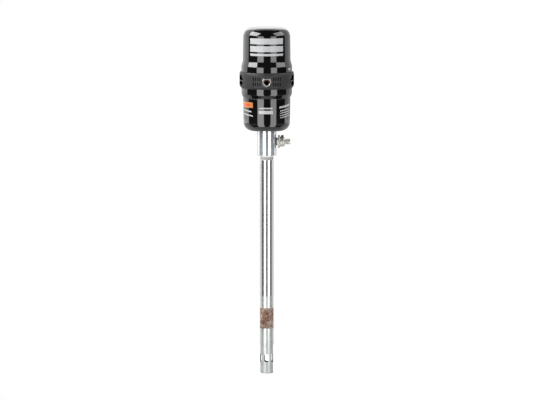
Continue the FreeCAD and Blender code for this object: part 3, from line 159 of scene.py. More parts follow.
def turnedPiece(name, corners, origin=(0, 0, 0), steps=192, arcSteps=7, ripple=None):
    # a closed outline carried round an axis: x = r cos a, y = r sin a, z = level, where a ripple
    # may change the radius with the angle and the level
    outline = roundedOutline(corners, arcSteps)
    angle = np.linspace(0, 2 * np.pi, steps, endpoint=False)
    radius = np.repeat(outline[:, :1], steps, axis=1)
    level = np.repeat(outline[:, 1:], steps, axis=1)
    if ripple:
        radius = ripple(radius, level, angle[None, :])
    points = np.stack([radius * np.cos(angle), radius * np.sin(angle), level], axis=2)
    points = (points.reshape(-1, 3) + np.array(origin)) * mm
    return evenNormals(finishMesh(name, points, gridFaces(len(outline), steps, True, True)))


def threadedPiece(name, thread, before, after, turn, origin, steps=96):
    # a screw thread: the radius leaves the crest as a triangle wave of level less lead, where the
    # lead is one pitch for each turn, and the wave fades out at both ends of its span
    pitch, low, high = thread["pitch"], thread["low"], thread["high"]
    step = pitch / thread["stepsPerPitch"]
    levels = np.arange(low, high + step, step)
    angle = np.linspace(0, 2 * np.pi, steps, endpoint=False)[None, :]
    wave = np.abs(2 * ((levels[:, None] / pitch - angle / (2 * np.pi)) % 1) - 1)
    fade = np.clip(np.minimum(levels - low, high - levels)[:, None] / pitch, 0, 1)
    radius = thread["radius"] + thread["rootSide"] * thread["depth"] * wave * fade

    def ring(size, level):
        return np.stack([np.full(steps, size), np.full(steps, level)], axis=1)

    rings = np.array([ring(*corner) for corner in before]
                     + [ring(row, level) for row, level in zip(radius, levels)]
                     + [ring(*corner) for corner in after])
    across, along = rings[..., 0], rings[..., 1]
    points = np.stack([across * np.cos(angle), across * np.sin(angle), along], axis=2)
    points = (points.reshape(-1, 3) @ np.array(turn).T + np.array(origin)) * mm
    return finishMesh(name, points, gridFaces(len(rings), steps, True, True))


def refinedNode(node, name, edge=0.0):
    # the node's own surface with its doubles merged and flat faces joined, for smooth shading
    work = bmesh.new()
    work.from_mesh(nodes[node].data)
    bmesh.ops.remove_doubles(work, verts=work.verts, dist=meshCare["nodeGap"] * mm)
    bmesh.ops.dissolve_limit(work, angle_limit=math.radians(meshCare["flatAngle"]),
                             verts=work.verts, edges=work.edges)
    work.verts.index_update()
    points = [tuple(corner.co) for corner in work.verts]
    faces = [[corner.index for corner in face.verts] for face in work.faces]
    work.free()
    mesh = bpy.data.meshes.new(name)
    mesh.from_pydata(points, [], faces)
    mesh.shade_smooth()
    mesh.set_sharp_from_angle(angle=math.radians(meshCare["sharpAngle"]))
    piece = linked(name, mesh)
    if edge:
        soften = piece.modifiers.new("softEdges", "BEVEL")
        soften.width = edge * mm
        soften.segments = 2
        soften.limit_method = "ANGLE"
        soften.angle_limit = math.radians(meshCare["cornerAngle"])
        soften.use_clamp_overlap = True
    return evenNormals(piece)


# Materials: small helpers, then one function for each finish. A pair such as "clouds": (14, 5) is
# a noise's blotch width and its detail, and "rough" holds the two ends of its roughness.

def newFinish(name, colour, roughness, metallic=0.0, **sockets):
    material = bpy.data.materials.new(name)
    material.use_nodes = True
    shader = material.node_tree.nodes["Principled BSDF"]
    shader.inputs["Base Color"].default_value = (*colour, 1)
    shader.inputs["Roughness"].default_value = roughness
    shader.inputs["Metallic"].default_value = metallic
    for socket, number in sockets.items():
        shader.inputs[socket.replace("_", " ")].default_value = number
    return material


def addNode(material, kind, inputs=(), **fields):
    made = material.node_tree.nodes.new("ShaderNode" + kind)
    for field, number in fields.items():
        setattr(made, field, number)
    for socket, source in dict(inputs).items():
        if isinstance(source, bpy.types.NodeSocket):
            material.node_tree.links.new(source, made.inputs[socket])
        else:
            made.inputs[socket].default_value = source
    return made


def place(material, stretch=(1, 1, 1)):
    coordinates = addNode(material, "TexCoord")
    mapping = addNode(material, "Mapping", {"Vector": coordinates.outputs["Object"], "Scale": stretch})
    return mapping.outputs["Vector"]


def noise(material, size, detail=2.0, stretch=(1, 1, 1), distortion=0.0):
    # size is the width in millimetres of one blotch
    made = addNode(material, "TexNoise", {
        "Vector": place(material, stretch), "Scale": 1 / (size * mm), "Detail": detail,
        "Distortion": distortion})
    return made.outputs["Fac"]


def cells(material, size):
    made = addNode(material, "TexVoronoi", {"Vector": place(material), "Scale": 1 / (size * mm)})
    return made.outputs["Distance"]


def twoTone(material, source, stops, first, second):
    # the first colour below the first stop, the second above the second, and a blend between
    made = addNode(material, "ValToRGB", {"Fac": source})
    for point, position, colour in zip(made.color_ramp.elements, stops, (first, second)):
        point.position = position
        point.color = (*colour, 1)
    return made.outputs["Color"]


def remap(material, source, low, high, fromLow=0.3, fromHigh=0.7):
    made = addNode(material, "MapRange", {
        "Value": source, "From Min": fromLow, "From Max": fromHigh, "To Min": low, "To Max": high})
    return made.outputs["Result"]


def maths(material, operation, first, second=None):
    inputs = {0: first} if second is None else {0: first, 1: second}
    return addNode(material, "Math", inputs, operation=operation).outputs["Value"]


def covered(material, source, share, colour):
    # the source's own colour, and the other colour where the share is 1
    mix = addNode(material, "Mix", {"Factor": share, "A": source, "B": (*colour, 1)}, data_type="RGBA")
    return mix.outputs[2]


def nearAxis(material, radius, softness=0.15):
    # 1 within this many millimetres of the pump's axis, 0 beyond, with a soft step between
    split = addNode(material, "SeparateXYZ", {"Vector": place(material)})
    square = maths(material, "ADD", maths(material, "POWER", split.outputs["X"], 2.0),
                   maths(material, "POWER", split.outputs["Y"], 2.0))
    return remap(material, maths(material, "SQRT", square), 1.0, 0.0,
                 (radius - softness) * mm, (radius + softness) * mm)


def heightOf(material):
    return addNode(material, "SeparateXYZ", {"Vector": place(material)}).outputs["Z"]


def nearLevel(material, middle, reach):
    # 1 within this many millimetres of a level, 0 beyond
    away = maths(material, "ABSOLUTE", maths(material, "SUBTRACT", heightOf(material), middle * mm))
    return maths(material, "LESS_THAN", away, reach * mm)


def connect(material, source, socket):
    shader = material.node_tree.nodes["Principled BSDF"]
    material.node_tree.links.new(source, shader.inputs[socket])


def clouded(material, look, first, second):
    return twoTone(material, noise(material, *look["clouds"]), look["cloudStops"], first, second)


def roughen(material, look):
    connect(material, remap(material, noise(material, *look["roughSpots"]), *look["rough"]), "Roughness")


def bump(material, height, depth, strength, under=None):
    inputs = {"Height": height, "Distance": depth * mm, "Strength": strength}
    if under:
        inputs["Normal"] = under
    normal = addNode(material, "Bump", inputs).outputs["Normal"]
    connect(material, normal, "Normal")
    return normal


def blackPaint():
    look = {"colour": (0.0036, 0.0036, 0.0038), "worn": (0.0052, 0.0052, 0.0054), "roughness": 0.06,
            "refraction": 1.8, "clouds": (40, 3), "cloudStops": (0.35, 0.65), "rough": (0.045, 0.085),
            "roughSpots": (16, 4), "peel": (2.2, 1), "peelDepth": 0.0025}
    finish = newFinish("blackPaint", look["colour"], look["roughness"], IOR=look["refraction"])
    connect(finish, clouded(finish, look, look["colour"], look["worn"]), "Base Color")
    roughen(finish, look)
    bump(finish, noise(finish, *look["peel"]), look["peelDepth"], 0.5)
    return finish


def ringPlastic():
    # matt moulded plastic, with painted shade in the slots behind the ring's outer skin: their walls near
    # black and without specular sheen
    look = {"colour": (0.016, 0.0162, 0.0165), "pale": (0.023, 0.0232, 0.0235), "roughness": 0.52,
            "clouds": (9, 4), "cloudStops": (0.3, 0.7), "rough": (0.46, 0.60), "roughSpots": (5, 3),
            "grain": (0.35, 3), "grainDepth": 0.03, "slotShadeColour": (0.0008, 0.0008, 0.0008),
            "slotShadeSpecular": 0.0, "skin": 0.25, "slotLevel": 17.65, "slotReach": 10}
    finish = newFinish("ringPlastic", look["colour"], look["roughness"])
    colour = clouded(finish, look, look["colour"], look["pale"])
    # slots is a mask of painted shade, inside the outer skin and within reach of the vents' level
    slots = maths(finish, "MULTIPLY", nearAxis(finish, radiusOf("silencer_ring") - look["skin"]),
                  nearLevel(finish, spanOf("silencer_ring")[0] + look["slotLevel"], look["slotReach"]))
    connect(finish, covered(finish, colour, slots, look["slotShadeColour"]), "Base Color")
    connect(finish, remap(finish, slots, 0.5, look["slotShadeSpecular"], 0.0, 1.0), "Specular IOR Level")
    roughen(finish, look)
    bump(finish, noise(finish, *look["grain"]), look["grainDepth"], 0.6)
    return finish


def openFoam():
    look = {"dark": (0.001, 0.001, 0.001), "strand": (0.006, 0.0058, 0.0056), "cellSize": 1.1,
            "cellStops": (0.1, 0.55), "cellDepth": 0.5, "roughness": 0.92, "sheen": 0.05}
    finish = newFinish("openFoam", look["strand"], look["roughness"], Specular_IOR_Level=look["sheen"])
    holes = cells(finish, look["cellSize"])
    connect(finish, twoTone(finish, holes, look["cellStops"], look["dark"], look["strand"]), "Base Color")
    bump(finish, holes, look["cellDepth"], 0.8)
    return finish


def platedZinc(name, look):
    # zinc plating in two tones, with turning marks that run round the stretched axis
    finish = newFinish(name, look["colour"], look["roughness"], look["metallic"], **look["sockets"])
    connect(finish, clouded(finish, look, look["dull"], look["colour"]), "Base Color")
    roughen(finish, look)
    bump(finish, noise(finish, *look["marks"]), look["markDepth"], 0.5)
    return finish


def turnedZinc():
    # the collar: bluish and satin, darker where it is seen along its surface
    return platedZinc("turnedZinc", {
        "colour": (0.78, 0.83, 0.88), "dull": (0.68, 0.73, 0.78), "roughness": 0.16, "metallic": 0.74,
        "sockets": {"Specular_Tint": (0.30, 0.34, 0.38, 1)},
        "clouds": (14, 5), "cloudStops": (0.3, 0.62), "rough": (0.13, 0.19), "roughSpots": (6, 4),
        "marks": (0.45, 2, (0.02, 0.02, 1)), "markDepth": 0.010})


def turnedZincAcross():
    # the outlet's fittings: paler and yellowish, with turning marks round X
    return platedZinc("turnedZincAcross", {
        "colour": (0.80, 0.78, 0.73), "dull": (0.64, 0.62, 0.57), "roughness": 0.42, "metallic": 1.0,
        "sockets": {},
        "clouds": (6, 5), "cloudStops": (0.3, 0.62), "rough": (0.36, 0.50), "roughSpots": (4, 4),
        "marks": (0.45, 2, (1, 0.02, 0.02)), "markDepth": 0.010})


def satinZinc():
    # the barrel and the foot: greenish and even, and dark inside the bore with grease and painted shade
    look = {"colour": (0.77, 0.80, 0.78), "dull": (0.68, 0.71, 0.69), "roughness": 0.36, "metallic": 1.0,
            "clouds": (8, 5), "cloudStops": (0.3, 0.65), "rough": (0.31, 0.44), "roughSpots": (3, 4),
            "grain": (0.4, 3), "grainDepth": 0.012, "grease": (0.05, 0.048, 0.045), "greaseRadius": 14.3}
    finish = newFinish("satinZinc", look["colour"], look["roughness"], look["metallic"])
    plated = clouded(finish, look, look["dull"], look["colour"])
    # within this radius the bore is painted dark: grease together with painted shade
    greaseAndShadeInside = nearAxis(finish, look["greaseRadius"])
    connect(finish, covered(finish, plated, greaseAndShadeInside, look["grease"]), "Base Color")
    roughen(finish, look)
    bump(finish, noise(finish, *look["grain"]), look["grainDepth"], 0.5)
    return finish


def tubeChrome():
    # chrome with dark pits that grow more common from the tube's middle to its top
    look = {"colour": (0.80, 0.81, 0.82), "roughness": 0.07, "metallic": 1.0, "pitSize": 5.5,
            "pitColour": (0.16, 0.15, 0.14), "pitLevels": (-200, -20), "pitShares": (0.05, 0.17),
            "pitPatches": (9, 2), "rough": (0.08, 0.14), "roughSpots": (12, 4), "pitRough": 0.4,
            "marks": (0.5, 2, (1, 1, 0.03)), "markDepth": 0.002}
    finish = newFinish("tubeChrome", look["colour"], look["roughness"], look["metallic"])
    low, high = (level * mm for level in look["pitLevels"])
    share = remap(finish, heightOf(finish), *look["pitShares"], low, high)
    pits = maths(finish, "LESS_THAN", cells(finish, look["pitSize"]),
                 maths(finish, "MULTIPLY", share, noise(finish, *look["pitPatches"])))
    connect(finish, covered(finish, (*look["colour"], 1), pits, look["pitColour"]), "Base Color")
    smooth = remap(finish, noise(finish, *look["roughSpots"]), *look["rough"])
    rough = maths(finish, "ADD", smooth, maths(finish, "MULTIPLY", pits, look["pitRough"]))
    connect(finish, rough, "Roughness")
    bump(finish, noise(finish, *look["marks"]), look["markDepth"], 0.4)
    return finish


def brownWrap():
    # pink and orange patches under painted shade along the creases and dark blots, and a cream band at
    # the top edge that is a painted highlight
    look = {"pink": (0.42, 0.32, 0.27), "orange": (0.25, 0.115, 0.055), "dark": (0.030, 0.010, 0.006),
            "edgeHighlight": (0.55, 0.50, 0.40), "roughness": 0.6, "patches": (15, 4),
            "patchStops": (0.44, 0.56), "patchDistortion": 0.8, "creases": (15, 3),
            "creaseShadeStops": (0.006, 0.045), "creaseDistortion": 1.6, "creaseDepth": 0.5,
            "blots": (7, 3), "blotStops": (0.62, 0.70), "blotShare": 0.8, "edgeHighlightWidth": 1.3,
            "rough": (0.5, 0.7), "roughSpots": (5, 3), "grain": (0.5, 3), "grainDepth": 0.03}
    finish = newFinish("brownWrap", look["pink"], look["roughness"])
    patches = noise(finish, *look["patches"], distortion=look["patchDistortion"])
    folds = noise(finish, *look["creases"], distortion=look["creaseDistortion"])
    crease = maths(finish, "ABSOLUTE", maths(finish, "SUBTRACT", folds, 0.5))
    creaseShade = twoTone(finish, crease, look["creaseShadeStops"], (1, 1, 1), (0, 0, 0))
    blots = twoTone(finish, noise(finish, *look["blots"]), look["blotStops"], (0, 0, 0),
                    (look["blotShare"],) * 3)
    colour = twoTone(finish, patches, look["patchStops"], look["pink"], look["orange"])
    # the creases get painted shade, and the blots a dark stain
    for share in (creaseShade, blots):
        colour = covered(finish, colour, share, look["dark"])
    # a painted highlight: a pale band along the wrap's top edge
    edge = nearLevel(finish, spanOf("barrel_wrap")[1], look["edgeHighlightWidth"])
    connect(finish, covered(finish, colour, edge, look["edgeHighlight"]), "Base Color")
    roughen(finish, look)
    folded = bump(finish, crease, look["creaseDepth"], 0.7)
    bump(finish, noise(finish, *look["grain"]), look["grainDepth"], 0.5, folded)
    return finish


def plainFinish(name, colour, roughness, metallic=0.0, blotch=6, grain=0.4, depth=0.01, **sockets):
    # a finish with faint blotches and grain, for washers, rods, seals and inner pieces
    look = {"dull": 0.86, "clouds": (blotch, 4), "cloudStops": (0.3, 0.65),
            "rough": (roughness * 0.88, roughness * 1.15), "roughSpots": (blotch / 2, 3)}
    finish = newFinish(name, colour, roughness, metallic, **sockets)
    dull = tuple(part * look["dull"] for part in colour)
    connect(finish, clouded(finish, look, dull, colour), "Base Color")
    roughen(finish, look)
    bump(finish, noise(finish, grain, 3), depth, 0.5)
    return finish


def makeFinishes():
    ink = {"blotch": 3, "grain": 0.2, "depth": 0.003}
    return {
        "black_paint": blackPaint(),
        "dark_plastic": ringPlastic(),
        "foam": openFoam(),
        "zinc": turnedZinc(),
        "zincAcross": turnedZincAcross(),
        "zincSatin": satinZinc(),
        "zincPale": plainFinish("zincPale", (0.80, 0.80, 0.76), 0.60, 0.45, depth=0.004),
        "chrome": tubeChrome(),
        "rimChrome": plainFinish("rimChrome", (0.84, 0.83, 0.81), 0.30, 1.0, depth=0.002),
        "steel": plainFinish("steel", (0.52, 0.53, 0.55), 0.28, 1.0),
        "aluminium": plainFinish("aluminium", (0.66, 0.67, 0.68), 0.40, 1.0),
        "brass": plainFinish("brass", (0.62, 0.42, 0.17), 0.27, 1.0),
        "burnished": plainFinish("burnished", (0.10, 0.065, 0.045), 0.42, 1.0),
        "rubber": plainFinish("rubber", (0.015, 0.015, 0.015), 0.65, grain=0.25, depth=0.02),
        "white_plastic": plainFinish("whitePlastic", (0.93, 0.93, 0.92), 0.42, grain=0.6),
        "lockGrey": plainFinish("lockGrey", (0.42, 0.41, 0.385), 0.46, grain=0.5, depth=0.02),
        "black_knob": plainFinish("knobPlastic", (0.005, 0.005, 0.005), 0.42, grain=0.3,
                                  Specular_IOR_Level=0.25),
        "magnet": plainFinish("magnetFerrite", (0.05, 0.05, 0.052), 0.5, grain=0.5, depth=0.03),
        "brown_tape": brownWrap(),
        "whiteInk": plainFinish("whiteInk", (0.52, 0.53, 0.54), 0.38, **ink),
        "orangeInk": plainFinish("orangeInk", (0.60, 0.20, 0.05), 0.38, **ink),
        "redInk": plainFinish("redInk", (0.62, 0.075, 0.02), 0.38, **ink),
    }


finishes = makeFinishes()
print("stage: finishes made")


def dress(piece, finish, body, slotName, *replaced):
    piece.data.materials.clear()
    piece.data.materials.append(finishes[finish])
    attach(piece, body)
    if replaced:
        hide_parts(*replaced)


def dressNodes():
    # the inner and small nodes keep their shape and get the finish of their record slot, but for
    # three whose finish differs from others of the same slot
    slots = {part["node"]: part["material_slot"] for part in frame["record"]["subparts"]}
    special = {"tube_lock_ring": "lockGrey", "pump_barrel": "zincSatin", "outlet_adapter": "zincPale"}
    for node, cadPiece in nodes.items():
        cadPiece.data.materials.clear()
        cadPiece.data.materials.append(finishes[special.get(node, slots[node])])


dressNodes()
print("stage: carried nodes dressed")


# Upper cover: a glossy dome on a flared foot. Levels are above its foot.
upperCoverSize = {"footInset": 0.05, "lip": 0.6, "flareLevel": 12.5, "flareRounding": 8.0,
                  "waistLevel": 24.5, "waistRadius": 52.4, "waistRounding": 14.0, "topRadius": 51.3,
                  "crown": 20.0, "roof": 5.0, "boreRadius": 47.8, "boreTaper": 1.0, "boreRounding": 16.0}


def upperCover():
    size = upperCoverSize
    low, high = spanOf("upper_cover")
    footRadius = radiusOf("upper_cover") - size["footInset"]
    return turnedPiece("upperCover", [
        (size["boreRadius"], low, 0.3),
        (footRadius, low, size["lip"]),
        (footRadius, low + size["flareLevel"], size["flareRounding"]),
        (size["waistRadius"], low + size["waistLevel"], size["waistRounding"]),
        (size["topRadius"], high, size["crown"]),
        (0.0, high, 0.0),
        (0.0, high - size["roof"], 0.0),
        (size["boreRadius"] - size["boreTaper"], high - size["roof"], size["boreRounding"]),
    ], steps=288, arcSteps=14)


def capRadius(level):
    # the upper cover's wall narrows evenly from its waist to its top
    size = upperCoverSize
    low, high = spanOf("upper_cover")
    share = (level - low - size["waistLevel"]) / (high - low - size["waistLevel"])
    return size["waistRadius"] + (size["topRadius"] - size["waistRadius"]) * share


def flareRadius(level):
    # the flare stands almost upright above the ring
    return np.full_like(level, radiusOf("upper_cover") - 2 * upperCoverSize["footInset"])


# Lower cover: a tapered shell with a rounded foot and a shallow seam under the skirt.
lowerCoverSize = {"taper": 1.2, "footRounding": 19.0, "neckHoleRadius": 18.3, "floor": 4.0,
                  "boreRadius": 46.5, "boreRounding": 14.0, "threadRadius": 48.94, "threadLength": 15.4,
                  "seamDepth": 0.7, "seamHeight": 1.1}


def lowerCover():
    size = lowerCoverSize
    low, high = spanOf("lower_cover")
    topRadius = radiusOf("lower_cover")
    seamRadius = topRadius - size["seamDepth"]
    seam = high - size["threadLength"]
    return turnedPiece("lowerCover", [
        (size["neckHoleRadius"], low, 0.4),
        (topRadius - size["taper"], low, size["footRounding"]),
        (topRadius, seam - size["seamHeight"], 0.35),
        (seamRadius, seam - size["seamHeight"], 0.1),
        (seamRadius, seam, 0.0),
        (size["threadRadius"], seam, 0.0),
        (size["threadRadius"], high, 0.3),
        (size["boreRadius"], high, 0.3),
        (size["boreRadius"], low + size["floor"], size["boreRounding"]),
        (size["neckHoleRadius"], low + size["floor"], 0.3),
    ], steps=288, arcSteps=14)


def coverRadius(level):
    # the lower cover's wall widens evenly from its foot to the seam
    low, high = spanOf("lower_cover")
    share = (level - low) / (high - lowerCoverSize["threadLength"] - low)
    return radiusOf("lower_cover") - lowerCoverSize["taper"] * (1 - share)


# Suction tube and the white washer round its thread.
tubeSize = {"threadRadius": 14.0, "boreRadius": 12.5, "washerGap": 0.06}


def suctionTube():
    size = tubeSize
    low, high = spanOf("suction_tube")
    radius, shoulder = radiusOf("suction_tube"), spanOf("tube_lock_ring")[0]
    return turnedPiece("suctionTube", [
        (size["boreRadius"], low, 0.3),
        (radius, low, 0.3),
        (radius, shoulder, 0.3),
        (size["threadRadius"], shoulder, 0.0),
        (size["threadRadius"], high, 0.4),
        (size["boreRadius"], high, 0.3),
    ], arcSteps=5)


def sealWasher():
    low, high = spanOf("tube_seal_washer")
    radius, boreRadius = radiusOf("tube_seal_washer"), tubeSize["threadRadius"] + tubeSize["washerGap"]
    return turnedPiece("tubeSealWasher", [
        (boreRadius, low, 0.1),
        (radius, low, 0.4),
        (radius, high, 0.1),
        (boreRadius, high, 0.1),
    ], steps=160, arcSteps=5)


def outletNipple():
    # an outside pipe thread round X beyond a plain neck
    size = {"boreRadius": 3.5, "neckRadius": 4.8, "neckLength": 2.0, "faceRadius": 5.7,
            "threadRadius": 6.56, "threadDepth": 0.8, "pitch": 1.337, "runIn": 0.2, "runOut": 0.4}
    low, high = spanOf("outlet_nipple", "x")
    neckEnd = spanOf("outlet_block", "x")[1] + size["neckLength"]
    thread = {"radius": size["threadRadius"], "depth": size["threadDepth"], "rootSide": -1,
              "pitch": size["pitch"], "stepsPerPitch": 12,
              "low": neckEnd + size["runIn"], "high": high - size["runOut"]}
    before = [(size["boreRadius"], low), (size["neckRadius"], low), (size["neckRadius"], neckEnd),
              (size["faceRadius"], neckEnd)]
    after = [(size["faceRadius"], high), (size["boreRadius"], high)]
    return threadedPiece("outletNipple", thread, before, after, alongX, (0, 0, middleOf("outlet_block")))


def airInletBushing():
    # an inside pipe thread round Y in a stepped bushing, measured inwards from its mouth
    size = {"airRadius": 3.5, "bodyRadius": 7.0, "flangeLength": 10.9, "mouthRadius": 6.6,
            "threadRadius": 5.8, "threadDepth": 0.7, "threadRoom": 14.0, "pitch": 1.337,
            "runIn": 0.3, "runOut": 0.5}
    mouth, end = (-level for level in spanOf("air_inlet_bushing", "y"))
    flangeRadius = spanOf("air_inlet_bushing", "x")[1]
    floor, step = mouth - size["threadRoom"], mouth - size["flangeLength"]
    thread = {"radius": size["threadRadius"], "depth": size["threadDepth"], "rootSide": 1,
              "pitch": size["pitch"], "stepsPerPitch": 12,
              "low": floor + size["runIn"], "high": mouth - size["runOut"]}
    before = [(size["bodyRadius"], step), (size["bodyRadius"], end), (size["airRadius"], end),
              (size["airRadius"], floor), (size["threadRadius"], floor)]
    after = [(size["mouthRadius"], mouth), (flangeRadius, mouth), (flangeRadius, step)]
    origin = (0, 0, middleOf("air_inlet_bushing"))
    return threadedPiece("airInletBushing", thread, before, after, alongY, origin)


def bleedScrew():
    # a round shank with a knurled head: the head's radius follows a wave of the angle
    size = {"shankRadius": 2.5, "headRadius": 2.9, "headGap": 0.6, "headRounding": 0.35,
            "footLand": 0.4, "topLand": 0.5, "knurls": 26, "knurlDepth": 0.13, "knurlFoot": 0.3,
            "knurlTop": 0.2}
    low, high = spanOf("bleed_screw")
    base = spanOf("outlet_block")[1] + size["headGap"]

    def knurl(radius, level, angle):
        within = (radius > size["shankRadius"] + 0.1) & (level > base + size["knurlFoot"])
        within &= level < high - size["knurlTop"]
        return radius - size["knurlDepth"] * (1 + np.cos(size["knurls"] * angle)) * within

    return turnedPiece("bleedScrew", [
        (0.0, low, 0.0),
        (size["shankRadius"], low, 0.3),
        (size["shankRadius"], base, 0.0),
        (size["headRadius"], base, 0.2),
        (size["headRadius"], base + size["footLand"], 0.0),
        (size["headRadius"], high - size["topLand"], 0.0),
        (size["headRadius"], high, size["headRounding"]),
        (0.0, high, 0.0),
    ], origin=(middleOf("bleed_screw", "x"), 0, 0), steps=208, arcSteps=5, ripple=knurl)


def barrelWrap():
    # radius = barrel + film + long folds and short crinkles that die out at the two edges
    low, high = spanOf("barrel_wrap")
    size = {"inset": 0.08, "barrelGap": 0.06, "foldDepth": 0.16, "crinkle": 0.06, "fadeShare": 1 / 12,
            "lapAngle": -128.0, "lapStep": 0.14, "lapWidth": 40, "edgeWave": 0.15, "edgeRipple": 0.09,
            "columns": 300, "rows": 90, "sharpAngle": 50}
    angle = np.linspace(-np.pi, np.pi, size["columns"], endpoint=False)[None, :]
    height = np.linspace(low, high, size["rows"])[:, None]
    share = (height - low) / (high - low)
    fade = np.clip(np.minimum(share, 1 - share) / size["fadeShare"], 0, 1)
    folds = np.sin(3 * angle + 2.1 * np.sin(7 * share + 1.3)) * np.sin(5 * share * np.pi + 2 * angle)
    crinkles = np.sin(17 * angle + 9 * share) * np.sin(31 * share - 5 * angle + 2)
    waves = size["foldDepth"] * np.maximum(folds, 0) + size["crinkle"] * crinkles
    turned = (np.degrees(angle) - size["lapAngle"]) % 360
    lap = size["lapStep"] * np.clip(1 - turned / size["lapWidth"], 0, 1)
    outer = radiusOf("barrel_wrap") - size["inset"] + waves * fade + lap
    inner = np.full_like(outer, radiusOf("pump_barrel") + size["barrelGap"])
    edge = size["edgeWave"] * np.sin(5 * angle + 1) + size["edgeRipple"] * np.sin(11 * angle)
    bend = height + edge * (share - 0.5)     # the cut edges waver
    radius = np.concatenate([outer, inner[::-1]])
    level = np.concatenate([bend, bend[::-1]])
    points = np.stack([radius * np.sin(angle), -radius * np.cos(angle), level], axis=2).reshape(-1, 3)
    faces = gridFaces(len(radius), size["columns"], True, True)
    return finishMesh("barrelWrap", points * mm, faces, size["sharpAngle"])


def coverPieces():
    dress(upperCover(), "black_paint", "pump_housing", "black_paint", "upper_cover")
    dress(lowerCover(), "black_paint", "pump_housing", "black_paint", "lower_cover")
    dress(refinedNode("valve_casting", "valveCasting"), "black_paint", "pump_housing",
          "black_paint", "valve_casting")
    dress(refinedNode("silencer_ring", "silencerRing", edge=0.25), "dark_plastic", "pump_housing",
          "dark_plastic", "silencer_ring")
    dress(refinedNode("inlet_rim", "inletRim", edge=0.35), "rimChrome", "pump_housing",
          "chrome", "inlet_rim")


def tubePieces():
    dress(suctionTube(), "chrome", "pump_housing", "chrome", "suction_tube")
    dress(sealWasher(), "white_plastic", "pump_housing", "white_plastic", "tube_seal_washer")
    dress(barrelWrap(), "brown_tape", "pump_housing", "brown_tape", "barrel_wrap")
    dress(refinedNode("foot_sleeve", "footSleeve", edge=0.2), "zincSatin", "pump_housing",
          "zinc", "foot_sleeve")
    dress(refinedNode("outlet_body", "outletBody", edge=0.15), "zinc", "pump_housing",
          "zinc", "outlet_body")
    dress(outletNipple(), "zincAcross", "pump_housing", "zinc", "outlet_nipple")
    dress(airInletBushing(), "burnished", "pump_housing", "brass", "air_inlet_bushing")
    dress(bleedScrew(), "black_knob", "bleed", "black_knob", "bleed_screw")
    for node in ("outlet_block", "outlet_flange_nut"):
        dress(refinedNode(node, node + "Turned", edge=0.2), "zincAcross", "pump_housing", "zinc", node)


def squeezedSpring(node, name):
    # a copy of the spring node's own mesh, in the node's place, while the node is hidden
    spring = linked(name, nodes[node].data.copy())
    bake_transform(spring)
    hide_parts(node)


coverPieces()
tubePieces()
squeezedSpring("upper_trip_spring", "upperTripSpring")
print("stage: turned pieces made")


# Prints: plain bars in the places of the printed marks.
inkFilm = {"gap": 0.03, "thickness": 0.05}     # the gap keeps ink and paint from sharing a surface


def printedPatch(name, radiusAt, middle, width, low, high, rise, columns=24, rows=6):
    # ink on a turned wall: across runs along the arc and up along the wall, on its radius plus ink,
    # and a rise lifts the level in step with the distance along the arc
    across = np.linspace(-0.5, 0.5, columns)[None, :] * width
    up = np.linspace(low, high, rows)[:, None]
    level = up + rise * across
    wall = radiusAt(level)
    angle = np.radians(middle) + across / wall
    corners = []
    for lift in (inkFilm["gap"], inkFilm["gap"] + inkFilm["thickness"]):
        radius = wall + lift
        corners.append(np.stack([radius * np.sin(angle), -radius * np.cos(angle), level], axis=2))
    points = np.concatenate(corners).reshape(-1, 3)
    inner = gridFaces(rows, columns, False, False)
    border = np.concatenate([
        np.arange(columns), np.arange(1, rows) * columns + columns - 1,
        (rows - 1) * columns + np.arange(columns - 2, -1, -1), np.arange(rows - 2, 0, -1) * columns])
    count = rows * columns
    following = np.roll(border, -1)
    walls = np.stack([border, following, following + count, border + count], axis=1)
    return finishMesh(name, points * mm, np.concatenate([inner[:, ::-1], inner + count, walls]))


def printMarks():
    # name, ink, middle angle, width, and low, high and rise above the cover's foot
    onCap = [("capBarWide", "whiteInk", -0.5, 80, 64, 77, 0),
             ("capBarMiddle", "whiteInk", -0.5, 80, 47, 60, 0),
             ("capBarNarrow", "whiteInk", -0.5, 80, 38, 43, 0)]
    onFlare = [("flareMark", "whiteInk", 64, 9, 5, 9.5, 0)]
    onCover = [("sideBlockEdge", "orangeInk", -60, 42, 53.3, 65.3, 0),
               ("sideBlock", "redInk", -60, 26, 56.8, 61.8, 0),
               ("sideLineUpper", "whiteInk", -58, 30, 44.8, 47.3, -0.1),
               ("sideLineLower", "whiteInk", -56, 34, 35.8, 38.3, -0.1),
               ("frontLine", "whiteInk", -2.4, 30, 51.3, 54.3, 0),
               ("frontBlock", "whiteInk", -2.4, 32, 40.3, 47.8, 0),
               ("rightBar", "whiteInk", 54, 38, 54.3, 58.8, 0.12)]
    onCover += [(f"rightLine{row}", "whiteInk", 54, 34, 47.4 - 5 * row, 49.3 - 5 * row, 0.12)
                for row in range(4)]
    for marks, node, wall in ((onCap, "upper_cover", capRadius), (onFlare, "upper_cover", flareRadius),
                              (onCover, "lower_cover", coverRadius)):
        foot = spanOf(node)[0]
        for name, ink, middle, width, low, high, rise in marks:
            patch = printedPatch(name, wall, middle, width, foot + low, foot + high, rise)
            dress(patch, ink, "pump_housing", "black_paint")


printMarks()
print("stage: prints laid")


# Studio: a pale floor, a white sky for the camera, and soft panels round the pump. Its sizes are
# metres, but for the lens and the sensor in millimetres.
studio = {"floorRadius": 0.55, "floorGap": 0.0002, "floorShade": 0.42, "floorGlow": 0.86,
          "skyForRays": 0.01, "panelDistance": 1.7, "lens": 600, "sensor": 36,
          "cameraElevation": 5.6, "viewWidth": 1.1836, "aimLevel": -0.0999, "aimAcross": 0.0005}

